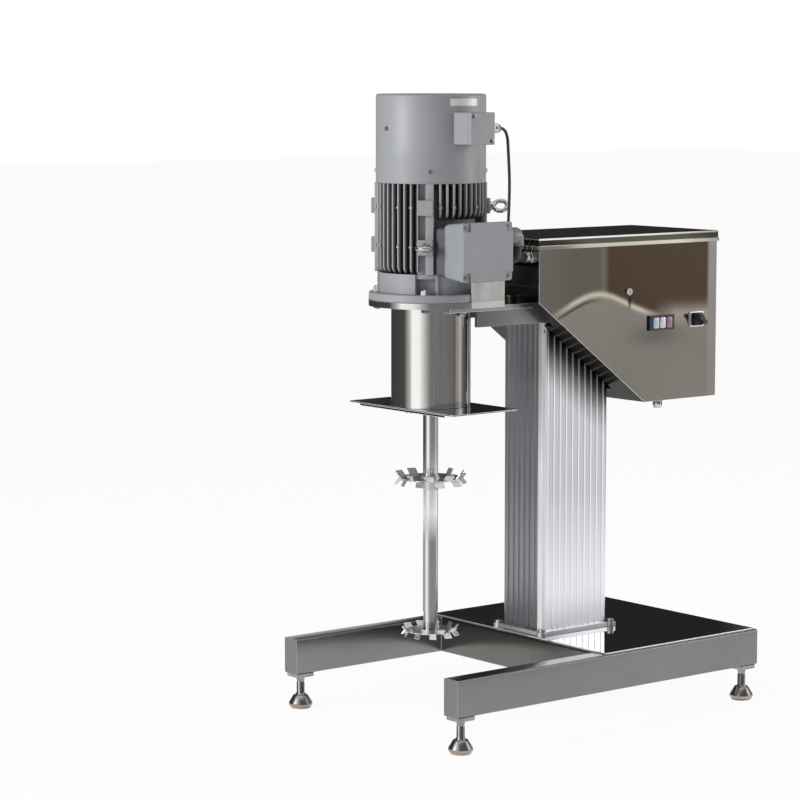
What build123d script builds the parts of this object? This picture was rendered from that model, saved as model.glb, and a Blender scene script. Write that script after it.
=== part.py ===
from build123d import *
from math import cos, degrees, pi, radians, sin, tan
import os

# A high shear disperser on a lifting column, in millimetres.
# The open end of the base faces -Y, the control buttons face +X, and the floor is Z 0.

# Base frame
base_width = 562
base_front = -422
base_length = 825
rail_width = 42
rail_height = 75
rail_wall = 3
foot_height = 75
bay_end = -33
deck_inset = 6
deck_thickness = 3
bearer_offset = 66

# Levelling feet
foot_inset = 25
foot_stud_radius = 8.5
foot_cup_radius = 25
foot_cup_height = 24
foot_rim_height = 6
foot_shoulder_radius = 15.5
foot_pad_radius = 20.5
foot_pad_thickness = 4
foot_shoulder_rise = 2
foot_plate_length = 42
foot_plate_inset = 1
foot_plate_thickness = 8
foot_stud_reach = 35

# Clearances
running_gap = 0.05
sliding_gap = 0.3

# Lifting column
column_width = 125
column_depth = 182
column_y = 80
column_head_gap = 5
column_wall = 7.5
column_corner = 8
groove_width = 10
groove_depth = 2.5
front_groove_pitch = 16.5
front_groove_count = 6
side_groove_pitch = 17.2
side_groove_count = 9
base_plate_margin_x = 17.5
base_plate_margin_y = 17
base_plate_thickness = 10
inner_width = 94
inner_depth = 151
inner_wall = 5
inner_lift_off = 9
pad_height = 54
lift_stroke = 450
screw_radius = 10
screw_head_gap = 141
nut_height = 35
gearbox_length = 76

# Arm
arm_half_width = 94
arm_top = 853
arm_thickness = 10
arm_bar_depth = 32
arm_bar_thickness = 9.5
arm_front = -289
arm_bar_front = -216
arm_rear = 180
head_plate_thickness = 12

# Motor line
motor_y = -260
seat_radius = 126
seat_thickness = 12
seat_rear = -174
cheek_thickness = 2
cheek_height = 40
flange_radius = 125
flange_thickness = 16
flange_bolt_circle = 107.5
shield_radius = 105
shield_height = 40
frame_height = 179
frame_core_radius = 93
fin_radius = 112
fin_thickness = 4.5
fin_pitch = 7.4
fins_per_side = 9
rail_boss_radius = 119
boss_low_height = 54
boss_high_height = 132
boss_size = 30
rail_boss_width = 36
rail_recess = (20, 16)
short_fin_start = 109
cowl_radius = 110.5
cowl_height = 176
cowl_wall = 2.5
motor_shaft_radius = 14
motor_bearing_radius = 26
stator_inner_radius = 52
rotor_air_gap = 0.5

# Spindle
housing_radius = 80.5
housing_wall = 6
housing_height = 203
bearing_radius = 31
bearing_width = 18
bearing_spacing = 120
shaft_radius = 15.5
shaft_tip_radius = 14.25
shaft_tip_length = 38
shaft_bottom = 189
upper_disc_rise = 311
upper_disc_radius = 72
lower_disc_radius = 58
disc_thickness = 2.5
tooth_pairs = 10
tooth_share = 0.94
tooth_skew = 22
tooth_bend = 54
tooth_shear = 15
hub_outer_radius = 19
hub_skirt = 22
hub_chamfer = 2.5
cover_half_width = 166.5
cover_front = -341
cover_rear = -168
cover_thickness = 3
cover_lip = 5

# Terminal boxes on the motor
terminal_back = 116
terminal_face = 184.5
terminal_drop = 10
terminal_height = 115.5
terminal_width = 126.5
terminal_y = -264.5
terminal_lid = 13
fan_box_face = 159.5
fan_box_y = -258.5
fan_box_width = 61
fan_box_rise = 77
fan_box_height = 63.5

# Control box
box_half_width = 131
box_front = -84.5
box_rear = 418.5
box_drop = 220
box_height = 350
box_slant_rise = 2
box_slant_end = 211.5
sheet = 2
lid_side_gap = 2
lid_front_gap = 3
lid_rear_gap = 1.5
lid_seat_gap = 0.5
lid_rim = 22.5
button_y = 255
button_rise = 165
button_pitch = 19
button_size = (15, 23)
button_block = (71, 31)
button_travel = 3
knob_y = 358
knob_rise = 167
knob_block = (38, 32)
lock_y = 163
lock_rise = 234

# Places worked out from the sizes above
base_rear = base_front + base_length
rail_x = (base_width - rail_width) / 2
rail_top = foot_height + rail_height
rail_middle = foot_height + rail_height / 2
deck_top = rail_top + deck_thickness
plate_top = deck_top + base_plate_thickness
foot_places = {
    "front_left": (-rail_x, base_front + foot_inset),
    "front_right": (rail_x, base_front + foot_inset),
    "rear_left": (-rail_x, base_rear - foot_inset),
    "rear_right": (rail_x, base_rear - foot_inset),
}
arm_bottom = arm_top - arm_thickness
bar_bottom = arm_bottom - arm_bar_depth
head_plate_bottom = arm_bottom - head_plate_thickness
column_top = bar_bottom - column_head_gap
screw_top = head_plate_bottom - screw_head_gap
housing_bottom = arm_top - housing_height
seat_top = arm_top + seat_thickness
inner_bottom = plate_top + inner_lift_off
flange_top = seat_top + flange_thickness
shield_top = flange_top + shield_height
frame_top = shield_top + frame_height
cowl_top = frame_top + cowl_height
boss_low = shield_top + boss_low_height
boss_high = shield_top + boss_high_height
terminal_bottom = shield_top - terminal_drop
terminal_top = terminal_bottom + terminal_height
fan_box_bottom = frame_top + fan_box_rise
fan_box_top = fan_box_bottom + fan_box_height
shaft_step = shaft_bottom + shaft_tip_length
lower_disc_z = shaft_bottom
upper_disc_z = lower_disc_z + upper_disc_rise
box_bottom = arm_top - box_drop
box_top = box_bottom + box_height
box_slant_top = arm_top + box_slant_rise
button_z = box_bottom + button_rise
knob_z = box_bottom + knob_rise
lock_z = box_bottom + lock_rise
lid_half_width = box_half_width + lid_side_gap + sheet
lid_front = box_front - lid_front_gap - sheet
lid_rear = box_rear + lid_rear_gap + sheet
lid_top = box_top + lid_seat_gap + sheet
os.makedirs("parts", exist_ok=True)


# Base: two long tubes with closed ends make the legs, cross tubes and bearers carry the deck
with BuildPart() as side_rails:
    for rail_side in (-1, 1):
        with BuildSketch(Plane.XZ.offset(-base_front)):
            with Locations((rail_side * rail_x, rail_middle)):
                RectangleRounded(rail_width, rail_height, 3)
        extrude(amount=-base_length)
        with BuildSketch(Plane.XZ.offset(-base_front - rail_wall)):
            with Locations((rail_side * rail_x, rail_middle)):
                Rectangle(rail_width - 2 * rail_wall, rail_height - 2 * rail_wall)
        extrude(amount=-(base_length - 2 * rail_wall), mode=Mode.SUBTRACT)
    with BuildSketch(Plane.XY.offset(foot_height)):
        with Locations(*foot_places.values()):
            Circle(foot_stud_radius + 1)
    extrude(amount=2 * rail_wall, mode=Mode.SUBTRACT)
side_rails.part.label = "side_rails"
export_step(side_rails.part, "parts/side_rails.step")

cross_length = base_width - 2 * rail_width
bearer_length = base_length - (bay_end - base_front) - 2 * rail_width
with BuildPart() as cross_rails:
    for cross_y in (bay_end + rail_width / 2, base_rear - rail_width / 2):
        with BuildSketch(Plane.YZ.offset(-cross_length / 2)):
            with Locations((cross_y, rail_middle)):
                RectangleRounded(rail_width, rail_height, 3)
                Rectangle(rail_width - 2 * rail_wall, rail_height - 2 * rail_wall, mode=Mode.SUBTRACT)
        extrude(amount=cross_length)
    for bearer_side in (-1, 1):
        with BuildSketch(Plane.XZ.offset(-bay_end - rail_width)):
            with Locations((bearer_side * bearer_offset, rail_middle)):
                Rectangle(rail_width, rail_height)
                Rectangle(rail_width - 2 * rail_wall, rail_height - 2 * rail_wall, mode=Mode.SUBTRACT)
        extrude(amount=-bearer_length)
cross_rails.part.label = "cross_rails"
export_step(cross_rails.part, "parts/cross_rails.step")

screw_hole = screw_radius + 1
deck_front = bay_end + deck_inset
deck_rear = base_rear - deck_inset
with BuildPart() as deck_plate:
    with BuildSketch(Plane.XY.offset(rail_top)):
        with Locations((0, (deck_front + deck_rear) / 2)):
            RectangleRounded(base_width - 2 * deck_inset, deck_rear - deck_front, 4)
        with Locations((0, column_y)):
            Circle(screw_hole, mode=Mode.SUBTRACT)
    extrude(amount=deck_thickness)
deck_plate.part.label = "deck_plate"
export_step(deck_plate.part, "parts/deck_plate.step")

with BuildPart() as foot_mount_plates:
    with BuildSketch(Plane.XY.offset(foot_height - foot_plate_thickness)):
        with Locations(*foot_places.values()):
            RectangleRounded(rail_width - 2 * foot_plate_inset, foot_plate_length, 3)
            Circle(foot_stud_radius + running_gap, mode=Mode.SUBTRACT)
    extrude(amount=foot_plate_thickness)
foot_mount_plates.part.label = "foot_mount_plates"
export_step(foot_mount_plates.part, "parts/foot_mount_plates.step")


# Each levelling foot is a stud and bell cup over a soft pad
for foot_name, (foot_x, foot_y) in foot_places.items():
    foot_plane = Plane.XZ.offset(-foot_y)
    cup_top = foot_pad_thickness + foot_cup_height
    with BuildPart() as foot:
        with BuildSketch(foot_plane):
            with BuildLine():
                l1 = Line((foot_x, foot_pad_thickness), (foot_x + foot_pad_radius, foot_pad_thickness))
                l2 = Line(l1 @ 1, (foot_x + foot_cup_radius, foot_pad_thickness + foot_rim_height))
                l3 = Line(l2 @ 1, (foot_x + foot_shoulder_radius, cup_top - foot_shoulder_rise))
                l4 = Line(l3 @ 1, (foot_x + foot_shoulder_radius, cup_top))
                l5 = Line(l4 @ 1, (foot_x + foot_stud_radius, cup_top))
                l6 = Line(l5 @ 1, (foot_x + foot_stud_radius, foot_height + foot_stud_reach))
                l7 = Line(l6 @ 1, (foot_x, foot_height + foot_stud_reach))
                Line(l7 @ 1, l1 @ 0)
            make_face()
        revolve(axis=Axis((foot_x, foot_y, 0), (0, 0, 1)))
        with BuildSketch():
            with Locations((foot_x, foot_y)):
                Circle(foot_pad_radius)
        extrude(amount=foot_pad_thickness)
    foot.part.label = "foot_" + foot_name
    export_step(foot.part, "parts/foot_" + foot_name + ".step")


# Column: a ribbed outer profile on a bolted base plate, and an inner profile that a screw lifts
base_plate_x = column_width / 2 + base_plate_margin_x
base_plate_y = column_depth / 2 + base_plate_margin_y
screw_places = [
    (side_x * (base_plate_x - 11), column_y + side_y * (base_plate_y - 11))
    for side_x in (-1, 1) for side_y in (-1, 1)]
with BuildPart() as column_base_plate:
    with BuildSketch(Plane.XY.offset(deck_top)):
        with Locations((0, column_y)):
            RectangleRounded(2 * base_plate_x - 14, 2 * base_plate_y - 14, 6)
            Circle(screw_hole, mode=Mode.SUBTRACT)
        with Locations(*screw_places):
            Circle(11)
    extrude(amount=base_plate_thickness)
    with Locations(*[(x, y, plate_top) for x, y in screw_places]):
        Hole(4.5, depth=base_plate_thickness)
column_base_plate.part.label = "column_base_plate"
export_step(column_base_plate.part, "parts/column_base_plate.step")

with BuildPart() as column_base_screws:
    with BuildSketch(Plane.XY.offset(deck_top)):
        with Locations(*screw_places):
            Circle(4.5)
    extrude(amount=base_plate_thickness)
    with BuildSketch(Plane.XY.offset(plate_top)):
        with Locations(*screw_places):
            Circle(7.5)
    extrude(amount=6)
    with BuildSketch(Plane.XY.offset(plate_top + 6)):
        with Locations(*screw_places):
            RegularPolygon(3.5, 6)
    extrude(amount=-3.5, mode=Mode.SUBTRACT)
column_base_screws.part.label = "column_base_screws"
export_step(column_base_screws.part, "parts/column_base_screws.step")

bore_width = column_width - 2 * column_wall
bore_depth = column_depth - 2 * column_wall
with BuildPart() as column_outer_profile:
    with BuildSketch(Plane.XY.offset(plate_top)):
        with Locations((0, column_y)):
            RectangleRounded(column_width, column_depth, column_corner)
            Rectangle(bore_width, bore_depth, mode=Mode.SUBTRACT)
            with GridLocations(front_groove_pitch, column_depth, front_groove_count, 2):
                Rectangle(groove_width, 2 * groove_depth, mode=Mode.SUBTRACT)
            with GridLocations(column_width, side_groove_pitch, 2, side_groove_count):
                Rectangle(2 * groove_depth, groove_width, mode=Mode.SUBTRACT)
    extrude(amount=column_top - plate_top)
column_outer_profile.part.label = "column_outer_profile"
export_step(column_outer_profile.part, "parts/column_outer_profile.step")

with BuildPart() as column_inner_profile:
    with BuildSketch(Plane.XY.offset(inner_bottom)):
        with Locations((0, column_y)):
            RectangleRounded(inner_width, inner_depth, 4)
            Rectangle(inner_width - 2 * inner_wall, inner_depth - 2 * inner_wall, mode=Mode.SUBTRACT)
    extrude(amount=head_plate_bottom - inner_bottom)
column_inner_profile.part.label = "column_inner_profile"
export_step(column_inner_profile.part, "parts/column_inner_profile.step")

# Slide pads: the upper ring stays in the outer profile, the lower ring travels with the inner one
with BuildPart() as upper_guide_pads:
    with BuildSketch(Plane.XY.offset(column_top - 2 - pad_height)):
        with Locations((0, column_y)):
            Rectangle(bore_width, bore_depth)
            Rectangle(inner_width + 2 * sliding_gap, inner_depth + 2 * sliding_gap, mode=Mode.SUBTRACT)
            Rectangle(bore_width, inner_depth - 60, mode=Mode.SUBTRACT)
            Rectangle(inner_width - 40, bore_depth, mode=Mode.SUBTRACT)
    extrude(amount=pad_height)
upper_guide_pads.part.label = "upper_guide_pads"
export_step(upper_guide_pads.part, "parts/upper_guide_pads.step")

with BuildPart() as lower_guide_pads:
    with BuildSketch(Plane.XY.offset(inner_bottom)):
        with Locations((0, column_y)):
            RectangleRounded(bore_width - 2 * sliding_gap, bore_depth - 2 * sliding_gap, 2)
            RectangleRounded(inner_width, inner_depth, 4, mode=Mode.SUBTRACT)
    extrude(amount=pad_height)
lower_guide_pads.part.label = "lower_guide_pads"
export_step(lower_guide_pads.part, "parts/lower_guide_pads.step")

gearbox_bottom = rail_top - 68
screw_bottom = gearbox_bottom + 16
gear_motor_radius = 31
with BuildPart() as lift_gearmotor:
    with BuildSketch(Plane.XY.offset(gearbox_bottom)):
        with Locations((0, column_y)):
            RectangleRounded(84, gearbox_length, 6)
    extrude(amount=rail_top - gearbox_bottom)
    with BuildSketch(Plane.XZ.offset(-column_y - gearbox_length / 2)):
        with Locations((0, gearbox_bottom + 34)):
            Circle(gear_motor_radius)
    extrude(amount=-165)
    fillet(lift_gearmotor.faces().sort_by(Axis.Y)[-1].edges(), 5)
    with Locations((0, column_y, rail_top)):
        Hole(screw_radius + running_gap, depth=rail_top - screw_bottom + 0.3)
lift_gearmotor.part.label = "lift_gearmotor"
export_step(lift_gearmotor.part, "parts/lift_gearmotor.step")

with BuildPart() as lead_screw:
    with BuildSketch(Plane.XY.offset(screw_bottom)):
        with Locations((0, column_y)):
            Circle(screw_radius)
    extrude(amount=screw_top - screw_bottom)
    chamfer(lead_screw.edges().filter_by(GeomType.CIRCLE), 1.5)
lead_screw.part.label = "lead_screw"
export_step(lead_screw.part, "parts/lead_screw.step")

with BuildPart() as lift_nut:
    with BuildSketch(Plane.XY.offset(inner_bottom + 8)):
        with Locations((0, column_y)):
            Rectangle(inner_width - 2 * inner_wall, inner_depth - 2 * inner_wall)
    extrude(amount=12)
    with BuildSketch(Plane.XY.offset(inner_bottom + 8)):
        with Locations((0, column_y)):
            Circle(22)
    extrude(amount=nut_height)
    with Locations((0, column_y, inner_bottom + 8 + nut_height)):
        Hole(screw_radius + running_gap)
lift_nut.part.label = "lift_nut"
export_step(lift_nut.part, "parts/lift_nut.step")

with BuildPart() as column_head_plate:
    with BuildSketch(Plane.XY.offset(head_plate_bottom)):
        with Locations((0, column_y)):
            RectangleRounded(2 * (arm_half_width - arm_bar_thickness) - 2, column_depth, 6)
    extrude(amount=head_plate_thickness)
column_head_plate.part.label = "column_head_plate"
export_step(column_head_plate.part, "parts/column_head_plate.step")


# Arm: a thick top plate notched round the spindle housing, stiffened by a bar under each side
with BuildPart() as arm_plate:
    with BuildSketch(Plane.XY.offset(arm_bottom)):
        with Locations((0, (arm_front + arm_rear) / 2)):
            RectangleRounded(2 * arm_half_width, arm_rear - arm_front, 3)
        with Locations((0, motor_y)):
            Circle(housing_radius, mode=Mode.SUBTRACT)
        with Locations((0, motor_y - housing_radius)):
            Rectangle(2 * housing_radius, 2 * housing_radius, mode=Mode.SUBTRACT)
    extrude(amount=arm_thickness)
arm_plate.part.label = "arm_plate"
export_step(arm_plate.part, "parts/arm_plate.step")

with BuildPart() as arm_side_bars:
    for bar_side in (-1, 1):
        with BuildSketch(Plane.XY.offset(bar_bottom)):
            bar_x = bar_side * (arm_half_width - arm_bar_thickness / 2)
            with Locations((bar_x, (arm_bar_front + arm_rear) / 2)):
                Rectangle(arm_bar_thickness, arm_rear - arm_bar_front)
        extrude(amount=arm_bar_depth)
arm_side_bars.part.label = "arm_side_bars"
export_step(arm_side_bars.part, "parts/arm_side_bars.step")


# Spindle housing: a tube with two bearing walls inside, and a seat flange on top of it and of the arm
inner_radius = housing_radius - housing_wall
bearing_walls = (housing_bottom, housing_bottom + bearing_spacing)
with BuildPart() as spindle_housing:
    with BuildSketch(Plane.XY.offset(housing_bottom)):
        with Locations((0, motor_y)):
            Circle(housing_radius)
            Circle(inner_radius, mode=Mode.SUBTRACT)
    extrude(amount=housing_height)
    for wall_z in bearing_walls:
        with BuildSketch(Plane.XY.offset(wall_z)):
            with Locations((0, motor_y)):
                Circle(inner_radius)
                Circle(bearing_radius, mode=Mode.SUBTRACT)
        extrude(amount=bearing_width)
spindle_housing.part.label = "spindle_housing"
export_step(spindle_housing.part, "parts/spindle_housing.step")

with BuildPart() as seat_flange:
    with BuildSketch(Plane.XY.offset(arm_top)):
        with Locations((0, motor_y)):
            Circle(seat_radius)
        with Locations((0, (motor_y + seat_rear) / 2)):
            Rectangle(2 * (seat_radius + cheek_thickness), seat_rear - motor_y)
        with Locations((0, motor_y)):
            Circle(inner_radius, mode=Mode.SUBTRACT)
    extrude(amount=seat_thickness)
seat_flange.part.label = "seat_flange"
export_step(seat_flange.part, "parts/seat_flange.step")

# Polished cheeks stand on the seat beside the motor flange, flush with its flanks
with BuildPart() as seat_cheeks:
    with BuildSketch(Plane.XY.offset(seat_top)):
        for cheek_side in (-1, 1):
            cheek_x = cheek_side * (seat_radius + cheek_thickness / 2)
            with Locations((cheek_x, (motor_y + seat_rear) / 2)):
                Rectangle(cheek_thickness, seat_rear - motor_y)
    extrude(amount=cheek_height)
seat_cheeks.part.label = "seat_cheeks"
export_step(seat_cheeks.part, "parts/seat_cheeks.step")

motor_bearing_z = seat_top + 20
motor_bearing_width = 16
frame_cover = 12
with BuildPart() as shaft_bearings:
    for wall_z in bearing_walls:
        with BuildSketch(Plane.XY.offset(wall_z)):
            with Locations((0, motor_y)):
                Circle(bearing_radius)
                Circle(shaft_radius + running_gap, mode=Mode.SUBTRACT)
        extrude(amount=bearing_width)
    frame_rings = (motor_bearing_z, motor_bearing_width), (frame_top - frame_cover, frame_cover)
    for ring_z, ring_width in frame_rings:
        with BuildSketch(Plane.XY.offset(ring_z)):
            with Locations((0, motor_y)):
                Circle(motor_bearing_radius)
                Circle(motor_shaft_radius + running_gap, mode=Mode.SUBTRACT)
        extrude(amount=ring_width)
shaft_bearings.part.label = "shaft_bearings"
export_step(shaft_bearings.part, "parts/shaft_bearings.step")

# Splash cover under the housing, with a folded lip along its front edge
cover_top = housing_bottom
cover_bottom = cover_top - cover_thickness
with BuildPart() as cover_plate:
    with BuildSketch(Plane.XY.offset(cover_bottom)):
        with Locations((0, (cover_front + cover_rear) / 2)):
            RectangleRounded(2 * cover_half_width, cover_rear - cover_front, 7)
        with Locations((0, motor_y)):
            Circle(shaft_radius + 6, mode=Mode.SUBTRACT)
    extrude(amount=cover_thickness)
    with BuildSketch(Plane.XY.offset(cover_bottom)):
        with Locations((0, cover_front + 6)):
            Rectangle(2 * (cover_half_width - 32), 2.5)
        with Locations((0, cover_rear - 6)):
            Rectangle(2 * (cover_half_width - 32), 2.5)
    extrude(amount=-cover_lip)
cover_plate.part.label = "cover_plate"
export_step(cover_plate.part, "parts/cover_plate.step")

# Hexagon bolts: heads over the motor flange, nuts under the seat, and studs under the splash cover
seat_bolts = [(flange_bolt_circle * cos(radians(a)), motor_y + flange_bolt_circle * sin(radians(a)))
              for a in (45, 135, 225, 315)]
arm_bolts = [(-88, -247), (88, -247)]
stud_places = [(-2, -320), (11, -320)]
with BuildPart() as machine_bolts:
    with BuildSketch(Plane.XY.offset(flange_top)):
        with Locations(*seat_bolts):
            RegularPolygon(10.5, 6)
    extrude(amount=9)
    with BuildSketch(Plane.XY.offset(arm_top)):
        with Locations(*seat_bolts[2:]):
            RegularPolygon(9, 6)
    extrude(amount=-8)
    with BuildSketch(Plane.XY.offset(arm_bottom)):
        with Locations(*seat_bolts[:2]):
            RegularPolygon(8, 6)
        with Locations(*arm_bolts):
            RegularPolygon(6, 6)
    extrude(amount=-7)
    with BuildSketch(Plane.XY.offset(cover_bottom)):
        with Locations(*stud_places):
            Circle(3)
    extrude(amount=-9)
machine_bolts.part.label = "machine_bolts"
export_step(machine_bolts.part, "parts/machine_bolts.step")


# Motor end shield: flange, drum, and a pocket over each flange bolt
with BuildPart() as motor_end_shield:
    with BuildSketch(Plane.XY.offset(seat_top)):
        with Locations((0, motor_y)):
            Circle(flange_radius)
    extrude(amount=flange_thickness)
    chamfer(motor_end_shield.edges().filter_by(GeomType.CIRCLE).sort_by(Axis.Z)[-1], 1.5)
    with BuildSketch(Plane.XY.offset(flange_top)):
        with Locations((0, motor_y)):
            Circle(shield_radius)
            with PolarLocations(flange_bolt_circle, 4, 45):
                Rectangle(46, 40, mode=Mode.SUBTRACT)
    extrude(amount=shield_top - flange_top)
    with BuildSketch(Plane.XY.offset(shield_top)):
        with Locations((0, motor_y)):
            Circle(shield_radius)
    extrude(amount=-12)
    with Locations((0, motor_y, shield_top)):
        CounterBoreHole(motor_shaft_radius + 2, 60, shield_top - motor_bearing_z - motor_bearing_width - 6)
    with BuildSketch(Plane.XY.offset(motor_bearing_z)):
        with Locations((0, motor_y)):
            Circle(motor_bearing_radius)
    extrude(amount=motor_bearing_width + 6, mode=Mode.SUBTRACT)
motor_end_shield.part.label = "motor_end_shield"
export_step(motor_end_shield.part, "parts/motor_end_shield.step")

# Motor frame: a drum with nine fins to a side, a rail with pads on each diagonal, and a terminal saddle
frame_bore = 84
side_fins = [(i - (fins_per_side - 1) / 2) * fin_pitch for i in range(fins_per_side)]
fin_angles = [side + angle for side in (90, 180, 270) for angle in side_fins]
with BuildPart() as motor_frame:
    with BuildSketch(Plane.XY.offset(shield_top)):
        with Locations((0, motor_y)):
            Circle(frame_core_radius)
        for fin_angle in fin_angles:
            with Locations(Pos(0, motor_y) * Rot(0, 0, fin_angle) * Pos(fin_radius - 12, 0)):
                Rectangle(24, fin_thickness)
        for rail_angle in (45, 135, 225, 315):
            with Locations(Pos(0, motor_y) * Rot(0, 0, rail_angle) * Pos(fin_radius - 16, 0)):
                Rectangle(32, rail_boss_width)
                with Locations((12, -rail_recess[1] / 2)):
                    Rectangle(*rail_recess, mode=Mode.SUBTRACT)
    extrude(amount=frame_top - shield_top)
    with BuildSketch(Plane.XY.offset(shield_top)):
        with Locations((0, motor_y)):
            Circle(fin_radius + 30)
            Circle(fin_radius - 6, mode=Mode.SUBTRACT)
    extrude(amount=10, taper=-30, mode=Mode.SUBTRACT)
    # Over the terminal saddle the fins start higher up
    with BuildSketch(Plane.XY.offset(shield_top + short_fin_start)):
        for fin_angle in side_fins:
            with Locations(Pos(0, motor_y) * Rot(0, 0, fin_angle) * Pos(fin_radius - 12, 0)):
                Rectangle(24, fin_thickness)
    extrude(amount=frame_height - short_fin_start)
    for boss_z in (boss_low, boss_high):
        for rail_angle in (45, 135, 225, 315):
            rail_place = Pos(0, motor_y, boss_z) * Rot(0, 0, rail_angle) * Pos(rail_boss_radius, 0, 0)
            with BuildSketch(Plane(rail_place * Rot(0, 90, 0))):
                RectangleRounded(boss_size, boss_size, 3)
            extrude(amount=-(rail_boss_radius - frame_core_radius + 4))
    with BuildSketch(Plane.YZ.offset(terminal_back)):
        with Locations((terminal_y, (terminal_bottom + 10 + terminal_top) / 2)):
            Rectangle(terminal_width - 8, terminal_top - terminal_bottom - 10)
    extrude(amount=-(terminal_back - frame_core_radius + 12))
    with BuildSketch(Plane.XY.offset(shield_top)):
        with Locations((0, motor_y)):
            Circle(frame_bore)
    extrude(amount=frame_top - frame_cover - shield_top, mode=Mode.SUBTRACT)
    with BuildSketch(Plane.XY.offset(frame_top)):
        with Locations((0, motor_y)):
            Circle(cowl_radius - cowl_wall)
            Circle(frame_core_radius - 4, mode=Mode.SUBTRACT)
    extrude(amount=10)
    with Locations((0, motor_y, frame_top)):
        Hole(motor_bearing_radius, depth=frame_cover)
motor_frame.part.label = "motor_frame"
export_step(motor_frame.part, "parts/motor_frame.step")

stator_bottom = shield_top + 30
stator_top = frame_top - 34
with BuildPart() as motor_stator:
    with BuildSketch(Plane.XY.offset(stator_bottom)):
        with Locations((0, motor_y)):
            Circle(frame_bore)
            Circle(stator_inner_radius, mode=Mode.SUBTRACT)
    extrude(amount=stator_top - stator_bottom)
motor_stator.part.label = "motor_stator"
export_step(motor_stator.part, "parts/motor_stator.step")

coupling_length = 46
shaft_grip = 26
coupling_top = seat_top - 19
coupling_bottom = coupling_top - coupling_length
with BuildPart() as motor_rotor:
    with BuildSketch(Plane.XY.offset(coupling_bottom + shaft_grip)):
        with Locations((0, motor_y)):
            Circle(motor_shaft_radius)
    extrude(amount=frame_top + 4 - coupling_bottom - shaft_grip)
    with BuildSketch(Plane.XY.offset(stator_bottom)):
        with Locations((0, motor_y)):
            Circle(stator_inner_radius - rotor_air_gap)
    extrude(amount=stator_top - stator_bottom)
motor_rotor.part.label = "motor_rotor"
export_step(motor_rotor.part, "parts/motor_rotor.step")

with BuildPart() as shaft_coupling:
    with BuildSketch(Plane.XY.offset(coupling_bottom)):
        with Locations((0, motor_y)):
            Circle(36)
    extrude(amount=coupling_top - coupling_bottom)
    with BuildSketch(Plane.XY.offset(coupling_bottom)):
        with Locations((0, motor_y)):
            Circle(shaft_radius)
    extrude(amount=shaft_grip, mode=Mode.SUBTRACT)
    with BuildSketch(Plane.XY.offset(coupling_bottom + shaft_grip)):
        with Locations((0, motor_y)):
            Circle(motor_shaft_radius)
    extrude(amount=coupling_length - shaft_grip, mode=Mode.SUBTRACT)
    with BuildSketch(Plane.XY.offset(coupling_bottom + 20)):
        with Locations((0, motor_y)):
            Circle(40)
            Circle(30, mode=Mode.SUBTRACT)
    extrude(amount=6, mode=Mode.SUBTRACT)
shaft_coupling.part.label = "shaft_coupling"
export_step(shaft_coupling.part, "parts/shaft_coupling.step")

with BuildPart() as spindle_shaft:
    with BuildSketch(Plane.XY.offset(shaft_step)):
        with Locations((0, motor_y)):
            Circle(shaft_radius)
    extrude(amount=coupling_bottom + shaft_grip - shaft_step)
    with BuildSketch(Plane.XY.offset(shaft_bottom)):
        with Locations((0, motor_y)):
            Circle(shaft_tip_radius)
    extrude(amount=shaft_step - shaft_bottom)
spindle_shaft.part.label = "spindle_shaft"
export_step(spindle_shaft.part, "parts/spindle_shaft.step")


# Serrated disc: a flat plate whose edge teeth are bent down and up in turn, each set askew to the rim
def toothed_disc(disc_radius, bottom, bore, first_tooth):
    root_radius = disc_radius * 0.86
    tooth_width = tooth_share * 2 * pi * root_radius / (2 * tooth_pairs)
    tooth_height = 0.2 * disc_radius
    lean = tooth_height * sin(radians(tooth_shear))
    with BuildPart() as disc:
        with BuildSketch(Plane.XY.offset(bottom)):
            with Locations((0, motor_y)):
                Circle(root_radius)
                Circle(bore, mode=Mode.SUBTRACT)
        extrude(amount=disc_thickness)
        middle = Pos(0, motor_y, bottom + disc_thickness / 2)
        teeth = [
            Plane(middle * Rot(0, 0, first_tooth + 180 / tooth_pairs * tooth) * Pos(root_radius - 1.5, 0, 0)
                  * Rot(0, 0, -tooth_skew) * Rot(0, tooth_bend * (-1) ** tooth, 0))
            for tooth in range(2 * tooth_pairs)]
        with BuildSketch(*teeth):
            Polygon(
                (0, -tooth_width / 2), (tooth_height, lean - tooth_width / 2),
                (tooth_height, lean + tooth_width / 2), (0, tooth_width / 2), align=None)
        extrude(amount=disc_thickness / 2, both=True)
    return disc


upper_disc = toothed_disc(upper_disc_radius, upper_disc_z, shaft_radius, 13)
upper_disc.part.label = "upper_disc"
export_step(upper_disc.part, "parts/upper_disc.step")
lower_disc = toothed_disc(lower_disc_radius, lower_disc_z - disc_thickness, 6, 2)
lower_disc.part.label = "lower_disc"
export_step(lower_disc.part, "parts/lower_disc.step")

with BuildPart() as disc_hubs:
    with BuildSketch(Plane.XY.offset(upper_disc_z)):
        with Locations((0, motor_y)):
            Circle(hub_outer_radius)
    extrude(amount=-hub_skirt)
    chamfer(disc_hubs.edges().filter_by(GeomType.CIRCLE).sort_by(Axis.Z)[0], hub_chamfer)
    with BuildSketch(Plane.XY.offset(upper_disc_z)):
        with Locations((0, motor_y)):
            Circle(shaft_radius)
    extrude(amount=-hub_skirt, mode=Mode.SUBTRACT)
    with BuildSketch(Plane.XY.offset(upper_disc_z + disc_thickness)):
        with Locations((0, motor_y)):
            Circle(hub_outer_radius)
            Circle(shaft_radius, mode=Mode.SUBTRACT)
    extrude(amount=3)
    with BuildSketch(Plane.XY.offset(lower_disc_z - disc_thickness)):
        with Locations((0, motor_y)):
            Circle(11)
    extrude(amount=-4)
    with BuildSketch(Plane.XY.offset(lower_disc_z - disc_thickness)):
        with Locations((0, motor_y)):
            Circle(6)
    extrude(amount=disc_thickness)
disc_hubs.part.label = "disc_hubs"
export_step(disc_hubs.part, "parts/disc_hubs.step")


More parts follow.
